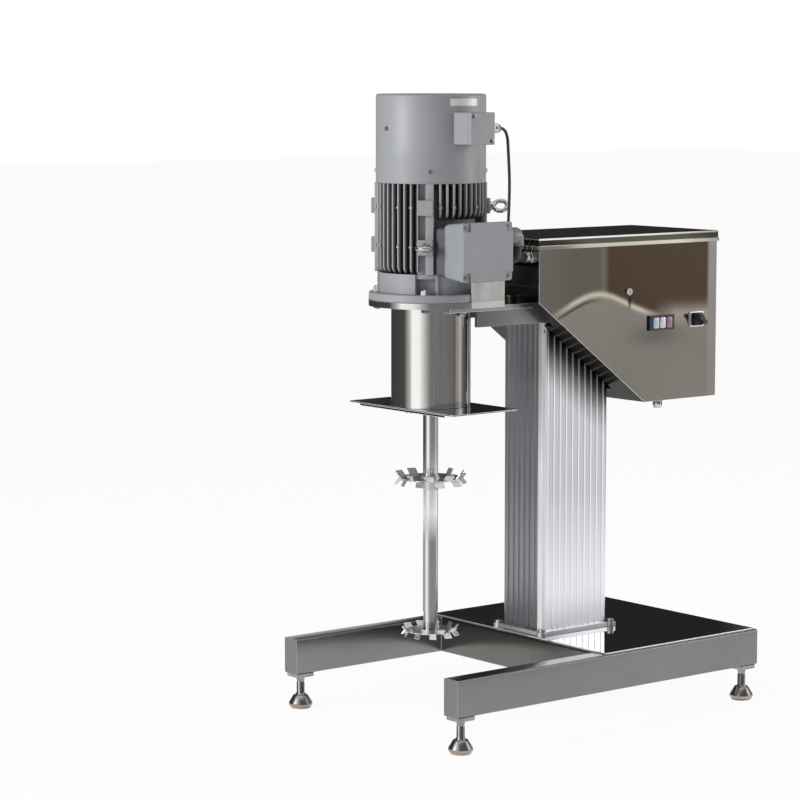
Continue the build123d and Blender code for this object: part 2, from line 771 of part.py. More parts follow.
# Forced cooling: a cowl with a slotted roof, its own small motor and a bladed fan
with BuildPart() as fan_cowl:
    with BuildSketch(Plane.XY.offset(frame_top)):
        with Locations((0, motor_y)):
            Circle(cowl_radius)
    extrude(amount=cowl_top - frame_top)
    fillet(fan_cowl.edges().filter_by(GeomType.CIRCLE).sort_by(Axis.Z)[-1], 5)
    with BuildSketch(Plane.XY.offset(frame_top)):
        with Locations((0, motor_y)):
            Circle(cowl_radius - cowl_wall)
    extrude(amount=cowl_top - frame_top - 3, mode=Mode.SUBTRACT)
    with BuildSketch(Plane.XY.offset(cowl_top)):
        with Locations((0, motor_y)):
            with PolarLocations(76, 24):
                SlotOverall(34, 7)
    extrude(amount=-5, mode=Mode.SUBTRACT)
fan_cowl.part.label = "fan_cowl"
export_step(fan_cowl.part, "parts/fan_cowl.step")

fan_shaft_radius = 6
fan_z = frame_top + 24
fan_motor_bottom = frame_top + 66
with BuildPart() as fan_motor:
    with BuildSketch(Plane.XY.offset(fan_motor_bottom)):
        with Locations((0, motor_y)):
            Circle(45)
    extrude(amount=cowl_top - 3 - fan_motor_bottom)
    with BuildSketch(Plane.XY.offset(fan_motor_bottom)):
        with Locations((0, motor_y)):
            Circle(fan_shaft_radius + running_gap)
    extrude(amount=30, mode=Mode.SUBTRACT)
fan_motor.part.label = "fan_motor"
export_step(fan_motor.part, "parts/fan_motor.step")

with BuildPart() as cooling_fan:
    with BuildSketch(Plane.XY.offset(fan_z)):
        with Locations((0, motor_y)):
            Circle(24)
    extrude(amount=30)
    for blade in range(7):
        with BuildSketch(Plane(Pos(0, motor_y, fan_z + 15) * Rot(0, 0, 360 / 7 * blade) * Pos(22, 0, 0)
                               * Rot(35, 0, 0) * Rot(0, 90, 0))):
            Rectangle(3, 34)
        extrude(amount=74)
    with BuildSketch(Plane.XY.offset(fan_z + 20)):
        with Locations((0, motor_y)):
            Circle(fan_shaft_radius)
    extrude(amount=fan_motor_bottom + 28 - fan_z - 20)
cooling_fan.part.label = "cooling_fan"
export_step(cooling_fan.part, "parts/cooling_fan.step")

# Main terminal box and its screwed cover
terminal_middle = (terminal_bottom + terminal_top) / 2
with BuildPart() as terminal_box:
    with BuildSketch(Plane.YZ.offset(terminal_back)):
        with Locations((terminal_y, terminal_middle)):
            RectangleRounded(terminal_width - 2, terminal_height - 2, 6)
    extrude(amount=terminal_face - terminal_lid - terminal_back)
    with BuildSketch(Plane.YZ.offset(terminal_face - terminal_lid)):
        with Locations((terminal_y, terminal_middle)):
            Rectangle(terminal_width - 22, terminal_height - 22)
    extrude(amount=-46, mode=Mode.SUBTRACT)
terminal_box.part.label = "terminal_box"
export_step(terminal_box.part, "parts/terminal_box.step")

corner_pad = 17
with BuildPart() as terminal_cover:
    with BuildSketch(Plane.YZ.offset(terminal_face - terminal_lid)):
        with Locations((terminal_y, terminal_middle)):
            RectangleRounded(terminal_width, terminal_height, 5)
    extrude(amount=terminal_lid)
    with BuildSketch(Plane.YZ.offset(terminal_face)):
        with Locations((terminal_y, terminal_middle)):
            with GridLocations(terminal_width - corner_pad, terminal_height - corner_pad, 2, 2):
                Rectangle(corner_pad, corner_pad)
    extrude(amount=-3, mode=Mode.SUBTRACT)
    with BuildSketch(Plane.YZ.offset(terminal_face - 3)):
        with Locations((terminal_y, terminal_middle)):
            with GridLocations(terminal_width - corner_pad, terminal_height - corner_pad, 2, 2):
                Circle(4.5)
    extrude(amount=2.5)
terminal_cover.part.label = "terminal_cover"
export_step(terminal_cover.part, "parts/terminal_cover.step")

# The fan's own terminal box fits the round of the cowl
with BuildPart() as fan_terminal_box:
    with BuildSketch(Plane.YZ.offset(fan_box_face)):
        with Locations((fan_box_y, (fan_box_bottom + fan_box_top) / 2)):
            RectangleRounded(fan_box_width, fan_box_top - fan_box_bottom, 3)
    extrude(amount=-(fan_box_face - cowl_radius + 12))
    chamfer(fan_terminal_box.faces().sort_by(Axis.X)[-1].edges(), 1.2)
    with BuildSketch(Plane.XY.offset(fan_box_bottom - 1)):
        with Locations((0, motor_y)):
            Circle(cowl_radius)
    extrude(amount=fan_box_top - fan_box_bottom + 2, mode=Mode.SUBTRACT)
fan_terminal_box.part.label = "fan_terminal_box"
export_step(fan_terminal_box.part, "parts/fan_terminal_box.step")

# Lifting eyes: one ring lies flat at the near diagonal, one is half turned at the far right diagonal
eye_radius = 13.5
eye_wire = 4.5
eye_centre = rail_boss_radius + 21


with BuildPart() as lifting_eyes:
    for eye_angle, eye_z, eye_tilt in ((-45, boss_low, 0), (45, boss_high, 45)):
        eye_foot = Pos(0, motor_y, eye_z) * Rot(0, 0, eye_angle) * Pos(rail_boss_radius, 0, 0)
        ring_plane = Plane(eye_foot * Pos(eye_centre - rail_boss_radius, 0, 0) * Rot(eye_tilt, 0, 0))
        with BuildSketch(Plane(ring_plane.origin, x_dir=ring_plane.x_dir, z_dir=ring_plane.y_dir)):
            with Locations((eye_radius, 0)):
                Circle(eye_wire)
        revolve(axis=Axis(ring_plane.origin, ring_plane.z_dir))
        with BuildSketch(Plane(eye_foot * Rot(0, 90, 0))):
            Circle(9)
        extrude(amount=eye_centre - eye_radius - rail_boss_radius, taper=20)
lifting_eyes.part.label = "lifting_eyes"
export_step(lifting_eyes.part, "parts/lifting_eyes.step")


# Cable fittings and the two cables that run between housings
terminal_side = terminal_y + terminal_width / 2 - 1
hub_place = (terminal_face - 18.5, terminal_side, terminal_top - 29.5)
fitting_place = (box_half_width - 24, box_front, box_top - 35)
lead_entry = (terminal_back + 24, terminal_side, terminal_bottom + 49)
fan_gland_place = (fan_box_face - 19.5, fan_box_y + fan_box_width / 2, fan_box_bottom + 32)
fan_gland_nut = 11
fan_gland_length = 29
hub_radius = 16
hub_length = 30
with BuildPart() as cable_glands:
    with BuildSketch(Plane.XZ.offset(-hub_place[1])):
        with Locations((hub_place[0], hub_place[2])):
            Circle(hub_radius)
        with Locations((terminal_face, hub_place[2])):
            Rectangle(2 * terminal_lid, 2 * hub_radius, mode=Mode.SUBTRACT)
    extrude(amount=-1)
    with BuildSketch(Plane.XZ.offset(-hub_place[1] - 1)):
        with Locations((hub_place[0], hub_place[2])):
            Circle(hub_radius)
    extrude(amount=-hub_length + 1)
    with BuildSketch(Plane.XY.offset(hub_place[2])):
        with Locations((hub_place[0], hub_place[1] + hub_length - 2)):
            Circle(hub_radius - 4)
    extrude(amount=-hub_radius - 4)
    with BuildSketch(Plane.XZ.offset(-fitting_place[1])):
        with Locations((fitting_place[0], fitting_place[2])):
            RegularPolygon(13, 6)
    extrude(amount=7)
    with BuildSketch(Plane.XZ.offset(-fitting_place[1] + 7)):
        with Locations((fitting_place[0], fitting_place[2])):
            Circle(11)
    extrude(amount=13)
    with BuildSketch(Plane.XZ.offset(-lead_entry[1])):
        with Locations((lead_entry[0], lead_entry[2])):
            Circle(9)
    extrude(amount=-7)
    with BuildSketch(Plane.XZ.offset(-fan_gland_place[1])):
        with Locations((fan_gland_place[0], fan_gland_place[2])):
            RegularPolygon(12, 6)
    extrude(amount=-fan_gland_nut)
    with BuildSketch(Plane.XZ.offset(-fan_gland_place[1] - fan_gland_nut)):
        with Locations((fan_gland_place[0], fan_gland_place[2])):
            Circle(9.5)
    extrude(amount=fan_gland_nut - fan_gland_length, taper=8)
cable_glands.part.label = "cable_glands"
export_step(cable_glands.part, "parts/cable_glands.step")


def corner_radii(route):
    # Each bend is as large as the two runs beside it allow
    points = [Vector(*p) for p in route]
    radii = []
    for before, corner, after in zip(points, points[1:], points[2:]):
        turn = (corner - before).get_angle(after - corner)
        shorter = min((corner - before).length, (after - corner).length)
        radii.append(0.45 * shorter / tan(radians(turn / 2)))
    return radii


conduit_radius = 9.5
conduit_route = [
    (hub_place[0], hub_place[1] + hub_length - 2, hub_place[2] - hub_radius - 4),
    (hub_place[0], hub_place[1] + hub_length - 2, fitting_place[2]),
    (fitting_place[0], -155, fitting_place[2]),
    (fitting_place[0], fitting_place[1] - 20, fitting_place[2]),
]
with BuildPart() as conduit:
    with BuildLine() as conduit_line:
        FilletPolyline(*conduit_route, radius=corner_radii(conduit_route))
    with BuildSketch(Plane(conduit_line.wire() @ 0, z_dir=conduit_line.wire() % 0)):
        Circle(conduit_radius)
    sweep()
conduit.part.label = "conduit"
export_step(conduit.part, "parts/conduit.step")
print("conduit bends", [round(r) for r in corner_radii(conduit_route)],
      "volume ratio", round(conduit.part.volume / (pi * conduit_radius**2 * conduit_line.wire().length), 4))

lead_radius = 3
gland_end = fan_gland_place[1] + fan_gland_length
lead_route = [
    (fan_gland_place[0], gland_end, fan_gland_place[2]),
    (fan_gland_place[0], gland_end + 19, fan_gland_place[2]),
    (fan_gland_place[0] + 0.5, -176, fan_gland_place[2] - 59),
    (fan_gland_place[0], -172.5, fan_gland_place[2] - 109),
    (fan_gland_place[0] + 0.5, -175, fan_gland_place[2] - 169),
    (lead_entry[0], -179, lead_entry[2]),
    (lead_entry[0], lead_entry[1] + 7, lead_entry[2]),
]
with BuildPart() as fan_lead:
    with BuildLine() as lead_line:
        FilletPolyline(*lead_route, radius=corner_radii(lead_route))
    with BuildSketch(Plane(lead_line.wire() @ 0, z_dir=lead_line.wire() % 0)):
        Circle(lead_radius)
    sweep()
fan_lead.part.label = "fan_lead"
export_step(fan_lead.part, "parts/fan_lead.step")
print("lead bends", [round(r) for r in corner_radii(lead_route)],
      "volume ratio", round(fan_lead.part.volume / (pi * lead_radius**2 * lead_line.wire().length), 4))


# Control box: folded sheet panels round the back of the arm, open below for the column
side_outline = [
    (box_front, box_slant_top), (box_front, box_top), (box_rear, box_top),
    (box_rear, box_bottom), (box_slant_end, box_bottom),
]
lock_shaft_radius = 5
knob_shaft_radius = 5
with BuildPart() as box_side_panels:
    with BuildSketch(Plane.YZ.offset(box_half_width - sheet)):
        with BuildLine():
            Polyline(*side_outline, close=True)
        make_face()
        with Locations((button_y, button_z)):
            Rectangle(button_block[0] - 8, button_block[1] - 4, mode=Mode.SUBTRACT)
        with Locations((lock_y, lock_z)):
            Circle(lock_shaft_radius + running_gap, mode=Mode.SUBTRACT)
        with Locations((knob_y, knob_z)):
            Circle(knob_shaft_radius + 1, mode=Mode.SUBTRACT)
    extrude(amount=sheet)
    with BuildSketch(Plane.YZ.offset(-box_half_width)):
        with BuildLine():
            Polyline(*side_outline, close=True)
        make_face()
    extrude(amount=sheet)
box_side_panels.part.label = "box_side_panels"
export_step(box_side_panels.part, "parts/box_side_panels.step")

inside_width = 2 * (box_half_width - sheet)
with BuildPart() as box_front_panel:
    with BuildSketch(Plane.XZ.offset(-box_front)):
        with Locations((0, (arm_top + box_top) / 2)):
            Rectangle(inside_width, box_top - arm_top)
    extrude(amount=-sheet)
box_front_panel.part.label = "box_front_panel"
export_step(box_front_panel.part, "parts/box_front_panel.step")

with BuildPart() as box_rear_panel:
    with BuildSketch(Plane.XZ.offset(-box_rear)):
        with Locations((0, (box_bottom + box_top) / 2)):
            Rectangle(inside_width, box_top - box_bottom)
    extrude(amount=sheet)
box_rear_panel.part.label = "box_rear_panel"
export_step(box_rear_panel.part, "parts/box_rear_panel.step")

slant_drop = (box_slant_top - box_bottom) / (box_slant_end - box_front)
slant_sheet = sheet * (1 + slant_drop**2) ** 0.5
column_notch = (column_width / 2 + 4, column_y + column_depth / 2 + 8)
gland_hole = (box_half_width - 36, box_rear - 135.5)
gland_radius = 8
with BuildPart() as box_floor_panel:
    with BuildSketch(Plane.YZ.offset(-inside_width / 2)):
        with BuildLine():
            Polyline(
                (box_front + sheet, box_slant_top - sheet * slant_drop),
                (box_slant_end, box_bottom),
                (box_rear - sheet, box_bottom),
                (box_rear - sheet, box_bottom + sheet),
                (box_slant_end + (slant_sheet - sheet) / slant_drop, box_bottom + sheet),
                (box_front + sheet, box_slant_top + slant_sheet - sheet * slant_drop),
                close=True)
        make_face()
    extrude(amount=inside_width)
    with BuildSketch(Plane.XY.offset(box_bottom - 1)):
        with Locations((0, box_front)):
            Rectangle(2 * arm_half_width, 2 * (-12 - box_front))
        with Locations((0, box_front)):
            Rectangle(2 * column_notch[0], 2 * (column_notch[1] - box_front))
        with Locations(gland_hole):
            Circle(gland_radius)
    extrude(amount=box_top - box_bottom, mode=Mode.SUBTRACT)
box_floor_panel.part.label = "box_floor_panel"
export_step(box_floor_panel.part, "parts/box_floor_panel.step")

cable_bore = 5.5
with BuildPart() as power_gland:
    with BuildSketch(Plane.XY.offset(box_bottom + 8)):
        with Locations(gland_hole):
            Circle(gland_radius)
    extrude(amount=-16)
    with BuildSketch(Plane.XY.offset(box_bottom + sheet)):
        with Locations(gland_hole):
            RegularPolygon(12, 6)
    extrude(amount=5)
    with BuildSketch(Plane.XY.offset(box_bottom)):
        with Locations(gland_hole):
            RegularPolygon(11.5, 6)
    extrude(amount=-7)
    with BuildSketch(Plane.XY.offset(box_bottom - 7)):
        with Locations(gland_hole):
            Circle(10)
    extrude(amount=-13, taper=8)
    with Locations((*gland_hole, box_bottom + 8)):
        Hole(cable_bore)
power_gland.part.label = "power_gland"
export_step(power_gland.part, "parts/power_gland.step")

# Lid with a folded rim, hinged along the far side on two barrel hinges
hinge_axis = (-lid_half_width - 3, lid_top - lid_rim - 4)
hinge_barrel = 3
hinge_pin = 1.5
hinge_leaf = 2.5
leaf_height = 34
hinge_places = (20, 312)
knuckle = 18
with BuildPart() as box_lid:
    with BuildSketch(Plane.XY.offset(lid_top - lid_rim)):
        with Locations((0, (lid_front + lid_rear) / 2)):
            Rectangle(2 * lid_half_width, lid_rear - lid_front)
    extrude(amount=lid_rim)
    fillet(box_lid.edges().group_by(Axis.Z)[-1], 1.5)
    with BuildSketch(Plane.XY.offset(lid_top - lid_rim)):
        with Locations((0, (lid_front + lid_rear) / 2)):
            Rectangle(2 * (lid_half_width - sheet), lid_rear - lid_front - 2 * sheet)
    extrude(amount=lid_rim - sheet, mode=Mode.SUBTRACT)
    for hinge_y in hinge_places:
        with BuildSketch(Plane.XZ.offset(-hinge_y + knuckle / 2)):
            with Locations(hinge_axis):
                Circle(hinge_barrel)
            with Locations((hinge_axis[0] + 1.5, hinge_axis[1] + 8)):
                Rectangle(3, 16)
            with Locations(hinge_axis):
                Circle(hinge_pin + running_gap, mode=Mode.SUBTRACT)
        extrude(amount=-knuckle)
box_lid.part.label = "box_lid"
export_step(box_lid.part, "parts/box_lid.step")

with BuildPart() as lid_hinges:
    for hinge_y in hinge_places:
        for end in (-1, 1):
            end_y = hinge_y + end * (knuckle + sliding_gap)
            with BuildSketch(Plane.XZ.offset(-end_y + knuckle / 2)):
                with Locations(hinge_axis):
                    Circle(hinge_barrel)
                with Locations(((hinge_axis[0] - box_half_width) / 2, hinge_axis[1] - 1.5)):
                    Rectangle(-box_half_width - hinge_axis[0], 3)
            extrude(amount=-knuckle)
        with BuildSketch(Plane.XZ.offset(-hinge_y + knuckle * 1.5)):
            with Locations(hinge_axis):
                Circle(hinge_pin)
            with Locations((-box_half_width - hinge_leaf / 2, hinge_axis[1] - leaf_height / 2)):
                Rectangle(hinge_leaf, leaf_height)
        extrude(amount=-3 * knuckle)
lid_hinges.part.label = "lid_hinges"
export_step(lid_hinges.part, "parts/lid_hinges.step")

# Switches on the near side panel
bezel_face = box_half_width + 5
well_floor = box_half_width - 14
with BuildPart() as switch_bezels:
    with BuildSketch(Plane.YZ.offset(box_half_width)):
        with Locations((button_y, button_z)):
            RectangleRounded(button_block[0], button_block[1], 3)
        with Locations((knob_y, knob_z)):
            RectangleRounded(*knob_block, 3)
    extrude(amount=bezel_face - box_half_width)
    with BuildSketch(Plane.YZ.offset(well_floor - 18)):
        with Locations((button_y, button_z)):
            Rectangle(button_block[0] - 8, button_block[1] - 4)
    extrude(amount=box_half_width - well_floor + 18)
    with BuildSketch(Plane.YZ.offset(bezel_face)):
        with Locations((button_y, button_z)):
            with GridLocations(button_pitch, 0, 3, 1):
                Rectangle(button_size[0] + 2 * sliding_gap, button_size[1] + 2 * sliding_gap)
    extrude(amount=-(bezel_face - well_floor), mode=Mode.SUBTRACT)
    with BuildSketch(Plane.YZ.offset(bezel_face)):
        with Locations((knob_y, knob_z)):
            Circle(knob_shaft_radius + running_gap)
    extrude(amount=-(bezel_face - box_half_width), mode=Mode.SUBTRACT)
switch_bezels.part.label = "switch_bezels"
export_step(switch_bezels.part, "parts/switch_bezels.step")

for button_name, step in (("run_button", -1), ("set_button", 0), ("stop_button", 1)):
    with BuildPart() as button:
        with BuildSketch(Plane.YZ.offset(well_floor + button_travel + 1)):
            with Locations((button_y + step * button_pitch, button_z)):
                RectangleRounded(*button_size, 2.5)
        extrude(amount=bezel_face + 3.5 - well_floor - button_travel - 1)
        fillet(button.faces().sort_by(Axis.X)[-1].edges(), 1)
    button.part.label = button_name
    export_step(button.part, "parts/" + button_name + ".step")

with BuildPart() as selector_knob:
    with BuildSketch(Plane.YZ.offset(box_half_width - sheet - 8)):
        with Locations((knob_y, knob_z)):
            Circle(knob_shaft_radius)
    extrude(amount=bezel_face - box_half_width + sheet + 9)
    with BuildSketch(Plane.YZ.offset(bezel_face + sliding_gap)):
        with Locations((knob_y, knob_z)):
            Circle(14)
    extrude(amount=10, taper=4)
    with BuildSketch(Plane.YZ.offset(bezel_face + sliding_gap)):
        with Locations(Pos(knob_y, knob_z) * Rot(0, 0, -35)):
            RectangleRounded(28, 9, 3)
    extrude(amount=20, taper=3)
selector_knob.part.label = "selector_knob"
export_step(selector_knob.part, "parts/selector_knob.step")

with BuildPart() as lid_lock:
    with BuildSketch(Plane.YZ.offset(box_half_width - sheet - 6)):
        with Locations((lock_y, lock_z)):
            Circle(lock_shaft_radius)
    extrude(amount=sheet + 6 + sliding_gap)
    with BuildSketch(Plane.YZ.offset(box_half_width + sliding_gap)):
        with Locations((lock_y, lock_z)):
            Circle(8)
    extrude(amount=4)
    with BuildSketch(Plane.YZ.offset(box_half_width + sliding_gap + 4)):
        with Locations((lock_y, lock_z)):
            Rectangle(2, 10)
    extrude(amount=-2, mode=Mode.SUBTRACT)
    with BuildSketch(Plane.YZ.offset(box_half_width - sheet - 6)):
        with Locations((lock_y, lock_z + 11)):
            RectangleRounded(14, 36, 3)
    extrude(amount=-3)
lid_lock.part.label = "lid_lock"
export_step(lid_lock.part, "parts/lid_lock.step")

# Electrical gear inside the box
inverter_size = (100, 140, 150)
inverter_x = -(box_half_width - sheet) + 14 + inverter_size[0] / 2
inverter_place = (inverter_x, box_rear - 26.5 - inverter_size[1] / 2)
with BuildPart() as speed_inverter:
    with BuildSketch(Plane.XY.offset(box_bottom + sheet)):
        with Locations(inverter_place):
            RectangleRounded(inverter_size[0], inverter_size[1], 4)
    extrude(amount=inverter_size[2])
    with BuildSketch(Plane.YZ.offset(inverter_place[0] + inverter_size[0] / 2)):
        with Locations((inverter_place[1], box_bottom + sheet + inverter_size[2] / 2)):
            with GridLocations(14, 0, 9, 1):
                Rectangle(8, 120)
    extrude(amount=-12, mode=Mode.SUBTRACT)
speed_inverter.part.label = "speed_inverter"
export_step(speed_inverter.part, "parts/speed_inverter.step")

rail_z = box_top - 83
with BuildPart() as terminal_rail:
    with BuildSketch(Plane.XZ.offset(-(box_rear - sheet))):
        with Locations((0, rail_z)):
            Rectangle(inside_width - 38, 35)
    extrude(amount=7.5)
    with BuildSketch(Plane.XZ.offset(-(box_rear - sheet - 7.5))):
        with Locations((-60, rail_z)):
            with GridLocations(9, 0, 8, 1):
                Rectangle(8, 44)
        with Locations((50, rail_z)):
            Rectangle(45, 76)
    extrude(amount=42)
terminal_rail.part.label = "terminal_rail"
export_step(terminal_rail.part, "parts/terminal_rail.step")
print("files", len(os.listdir("parts")))
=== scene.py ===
import bpy
import numpy as np
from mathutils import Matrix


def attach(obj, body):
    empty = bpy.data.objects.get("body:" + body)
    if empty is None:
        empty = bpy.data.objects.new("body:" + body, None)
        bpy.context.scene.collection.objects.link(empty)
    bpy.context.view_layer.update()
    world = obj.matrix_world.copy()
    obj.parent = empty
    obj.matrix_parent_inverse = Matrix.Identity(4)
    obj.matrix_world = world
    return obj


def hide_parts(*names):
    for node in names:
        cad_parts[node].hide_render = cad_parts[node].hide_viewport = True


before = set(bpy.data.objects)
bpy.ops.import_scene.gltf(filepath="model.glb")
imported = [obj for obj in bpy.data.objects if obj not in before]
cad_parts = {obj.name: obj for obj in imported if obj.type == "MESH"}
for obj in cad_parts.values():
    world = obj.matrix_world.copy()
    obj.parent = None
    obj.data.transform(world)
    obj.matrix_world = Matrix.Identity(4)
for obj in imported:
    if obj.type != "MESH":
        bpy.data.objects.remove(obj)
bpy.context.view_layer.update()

mm = 0.001
motorY = -260.0   # the axis of motor, spindle and fan
columnY = 80.0


# ---- no table of points below: every shape is a formula or a profile ----
def turn(count, first=0.0):
    # count equal angles of one full turn
    return np.radians(first) + np.arange(count) * 2 * np.pi / count


def onAxis(axis, a, b, h):
    # the flat pair (a, b) and the height h, laid so that h runs along the named axis
    a, b, h = np.broadcast_arrays(a, b, h)
    return np.stack({"x": (h, a, b), "-x": (-h, -a, b), "-y": (a, -h, b), "y": (-a, h, b), "z": (a, b, h)}[axis], -1)


def spun(points, degrees, centre=(0.0, 0.0)):
    # points turned about a vertical line through centre
    c, s = np.cos(np.radians(degrees)), np.sin(np.radians(degrees))
    x, y = points[..., 0] - centre[0], points[..., 1] - centre[1]
    return np.stack([centre[0] + c * x - s * y, centre[1] + s * x + c * y, points[..., 2]], -1)


def skin(points, closedU=False, capped=True, look=0):
    # rows of closed rings joined by quads, with a flat cap at both ends
    rows, cols = points.shape[:2]
    i = np.arange(rows if closedU else rows - 1)[:, None]
    j = np.arange(cols)[None, :]
    up, side = (i + 1) % rows, (j + 1) % cols
    quads = np.stack(np.broadcast_arrays(i * cols + j, i * cols + side, up * cols + side, up * cols + j), -1)
    faces = quads.reshape(-1, 4).tolist()
    if capped and not closedU:
        faces += [list(range(cols))[::-1], list(range((rows - 1) * cols, rows * cols))]
    return points.reshape(-1, 3), faces, look


def rounded(corners, radii, steps=6):
    # a closed outline whose corners become arcs that touch both of their edges
    p = np.array(corners, float)
    r = np.broadcast_to(np.array(radii, float), len(p))[:, None]
    u = np.roll(p, 1, 0) - p
    v = np.roll(p, -1, 0) - p
    u /= np.linalg.norm(u, axis=1, keepdims=True)
    v /= np.linalg.norm(v, axis=1, keepdims=True)
    half = np.arccos(np.clip((u * v).sum(1, keepdims=True), -1, 1)) / 2
    centre = p + (u + v) / np.linalg.norm(u + v, axis=1, keepdims=True) * r / np.sin(half)
    begin = p + u * r / np.tan(half) - centre
    end = p + v * r / np.tan(half) - centre
    first = np.arctan2(begin[:, 1], begin[:, 0])[:, None]
    sweep = np.arctan2(end[:, 1], end[:, 0])[:, None] - first
    sweep = (sweep + np.pi) % (2 * np.pi) - np.pi
    angle = first + sweep * np.linspace(0, 1, steps)[None, :]
    return (centre[:, None, :] + r[:, None] * np.stack([np.cos(angle), np.sin(angle)], -1)).reshape(-1, 2)


def plateOutline(width, height, radius, at=(0.0, 0.0), steps=6):
    # a rectangle with rounded corners, counterclockwise
    w, h = width / 2, height / 2
    return rounded([(-w, -h), (w, -h), (w, h), (-w, h)], radius, steps) + np.array(at)


def polygon(sides, radius, at=(0.0, 0.0), first=0.0):
    angle = turn(sides, first)
    return np.stack([at[0] + radius * np.cos(angle), at[1] + radius * np.sin(angle)], -1)


def prism(outline, low, high, axis="z", look=0):
    # an outline carried straight from low to high along an axis
    h = np.array([low, high], float)[:, None]
    return skin(onAxis(axis, outline[None, :, 0], outline[None, :, 1], h), look=look)


def taperedPrism(outline, stations, axis="z", look=0):
    # an outline carried along an axis; each station is (height, scale about the outline's middle)
    middle = (outline.max(0) + outline.min(0)) / 2
    h = np.array([s[0] for s in stations], float)[:, None]
    k = np.array([s[1] for s in stations], float)[:, None]
    a = middle[0] + (outline[None, :, 0] - middle[0]) * k
    b = middle[1] + (outline[None, :, 1] - middle[1]) * k
    return skin(onAxis(axis, a, b, h), look=look)


def turned(profile, at=(0.0, 0.0), axis="z", parts=72, ring=False, look=0):
    # a profile of (radius, height) pairs turned once about an axis through the flat point at
    profile = np.array(profile, float)
    angle = turn(parts)[None, :]
    a = at[0] + profile[:, :1] * np.cos(angle)
    b = at[1] + profile[:, :1] * np.sin(angle)
    return skin(onAxis(axis, a, b, profile[:, 1:]), closedU=ring, capped=not ring, look=look)


def ringProfile(outer, inner, low, high, soft=0.0):
    # the closed section of a ring with softened outer corners
    if soft:
        return [(inner, low), (outer - soft, low), (outer, low + soft), (outer, high - soft), (outer - soft, high), (inner, high)]
    return [(inner, low), (outer, low), (outer, high), (inner, high)]


def screwHead(at, height, radius, rise, axis="z", look=0, sides=24):
    # a low round head with a turned edge
    r = np.array([radius, radius, radius * 0.86, radius * 0.5])
    return turned(np.stack([r, height + rise * np.array([0, 0.55, 0.9, 1.0])], -1), at, axis, sides, look=look)


def hexHead(at, height, radius, rise, axis="z", look=0, first=0.0):
    return taperedPrism(polygon(6, radius, at, first), [(height, 1), (height + rise * 0.85, 1), (height + rise, 0.86)], axis, look)


def tubeAlong(line, radius, parts=24, ref=(1.0, 0.0, 0.0), look=0):
    # circles set square to a line of points; ref is any direction that the line never follows
    t = np.gradient(line, axis=0)
    t /= np.linalg.norm(t, axis=1, keepdims=True)
    n = np.cross(t, np.array(ref, float))
    n /= np.linalg.norm(n, axis=1, keepdims=True)
    b = np.cross(t, n)
    angle = turn(parts)[None, :, None]
    r = np.broadcast_to(np.array(radius, float), len(line))[:, None, None]
    return skin(line[:, None, :] + r * (n[:, None, :] * np.cos(angle) + b[:, None, :] * np.sin(angle)), look=look)


def makePiece(name, shells, looks, body, nodes=(), bevel=0.5, segments=2, angle=32,
              edgeHighlightLook=None):
    # all shells of a piece become one mesh in metres; its edges are softened by a bevel, which may have its own look, a
    # brighter one that paints a highlight along the edges
    verts, faces, slots, count = [], [], [], 0
    for points, polys, look in shells:
        verts.append(points)
        faces += [[k + count for k in poly] for poly in polys]
        slots += [look] * len(polys)
        count += len(points)
    mesh = bpy.data.meshes.new(name)
    mesh.from_pydata((np.concatenate(verts) * mm).tolist(), [], faces)
    for look in looks:
        mesh.materials.append(look)
    mesh.polygons.foreach_set("material_index", slots)
    mesh.polygons.foreach_set("use_smooth", [True] * len(faces))
    mesh.update()
    piece = bpy.data.objects.new(name, mesh)
    bpy.context.scene.collection.objects.link(piece)
    if bevel:
        soft = piece.modifiers.new("softEdges", "BEVEL")
        soft.width = bevel * mm
        soft.segments = segments
        soft.limit_method = "ANGLE"
        soft.angle_limit = np.radians(angle)
        soft.harden_normals = True
        if edgeHighlightLook:
            mesh.materials.append(edgeHighlightLook)
            soft.material = len(looks)
    else:
        mesh.set_sharp_from_angle(angle=np.radians(angle))
    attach(piece, body)
    if nodes:
        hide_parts(*nodes)
    return piece


# ---- looks ----
def newGroup(name, inputs, outputs):
    group = bpy.data.node_groups.new(name, "ShaderNodeTree")
    for title, kind, value in inputs:
        socket = group.interface.new_socket(name=title, in_out="INPUT", socket_type=kind)
        if value is not None:
            socket.default_value = value
    for title, kind in outputs:
        group.interface.new_socket(name=title, in_out="OUTPUT", socket_type=kind)
    return group, group.nodes.new("NodeGroupInput"), group.nodes.new("NodeGroupOutput")


def buildSoftClouds():
    # large faint patches from 0 to 1, as on handled sheet metal
    group, start, end = newGroup("softClouds", [("Vector", "NodeSocketVector", None), ("Scale", "NodeSocketFloat", 6.0),
                                                ("Contrast", "NodeSocketFloat", 1.0)], [("Value", "NodeSocketFloat")])
    noise = group.nodes.new("ShaderNodeTexNoise")
    noise.inputs["Detail"].default_value = 4.0
    noise.inputs["Roughness"].default_value = 0.55
    shift = group.nodes.new("ShaderNodeMath")
    shift.operation = "SUBTRACT"
    shift.inputs[1].default_value = 0.5
    gain = group.nodes.new("ShaderNodeMath")
    gain.operation = "MULTIPLY_ADD"
    gain.use_clamp = True
    gain.inputs[2].default_value = 0.5
    group.links.new(start.outputs["Vector"], noise.inputs["Vector"])
    group.links.new(start.outputs["Scale"], noise.inputs["Scale"])
    group.links.new(noise.outputs[0], shift.inputs[0])
    group.links.new(shift.outputs[0], gain.inputs[0])
    group.links.new(start.outputs["Contrast"], gain.inputs[1])
    group.links.new(gain.outputs[0], end.inputs[0])
    return group


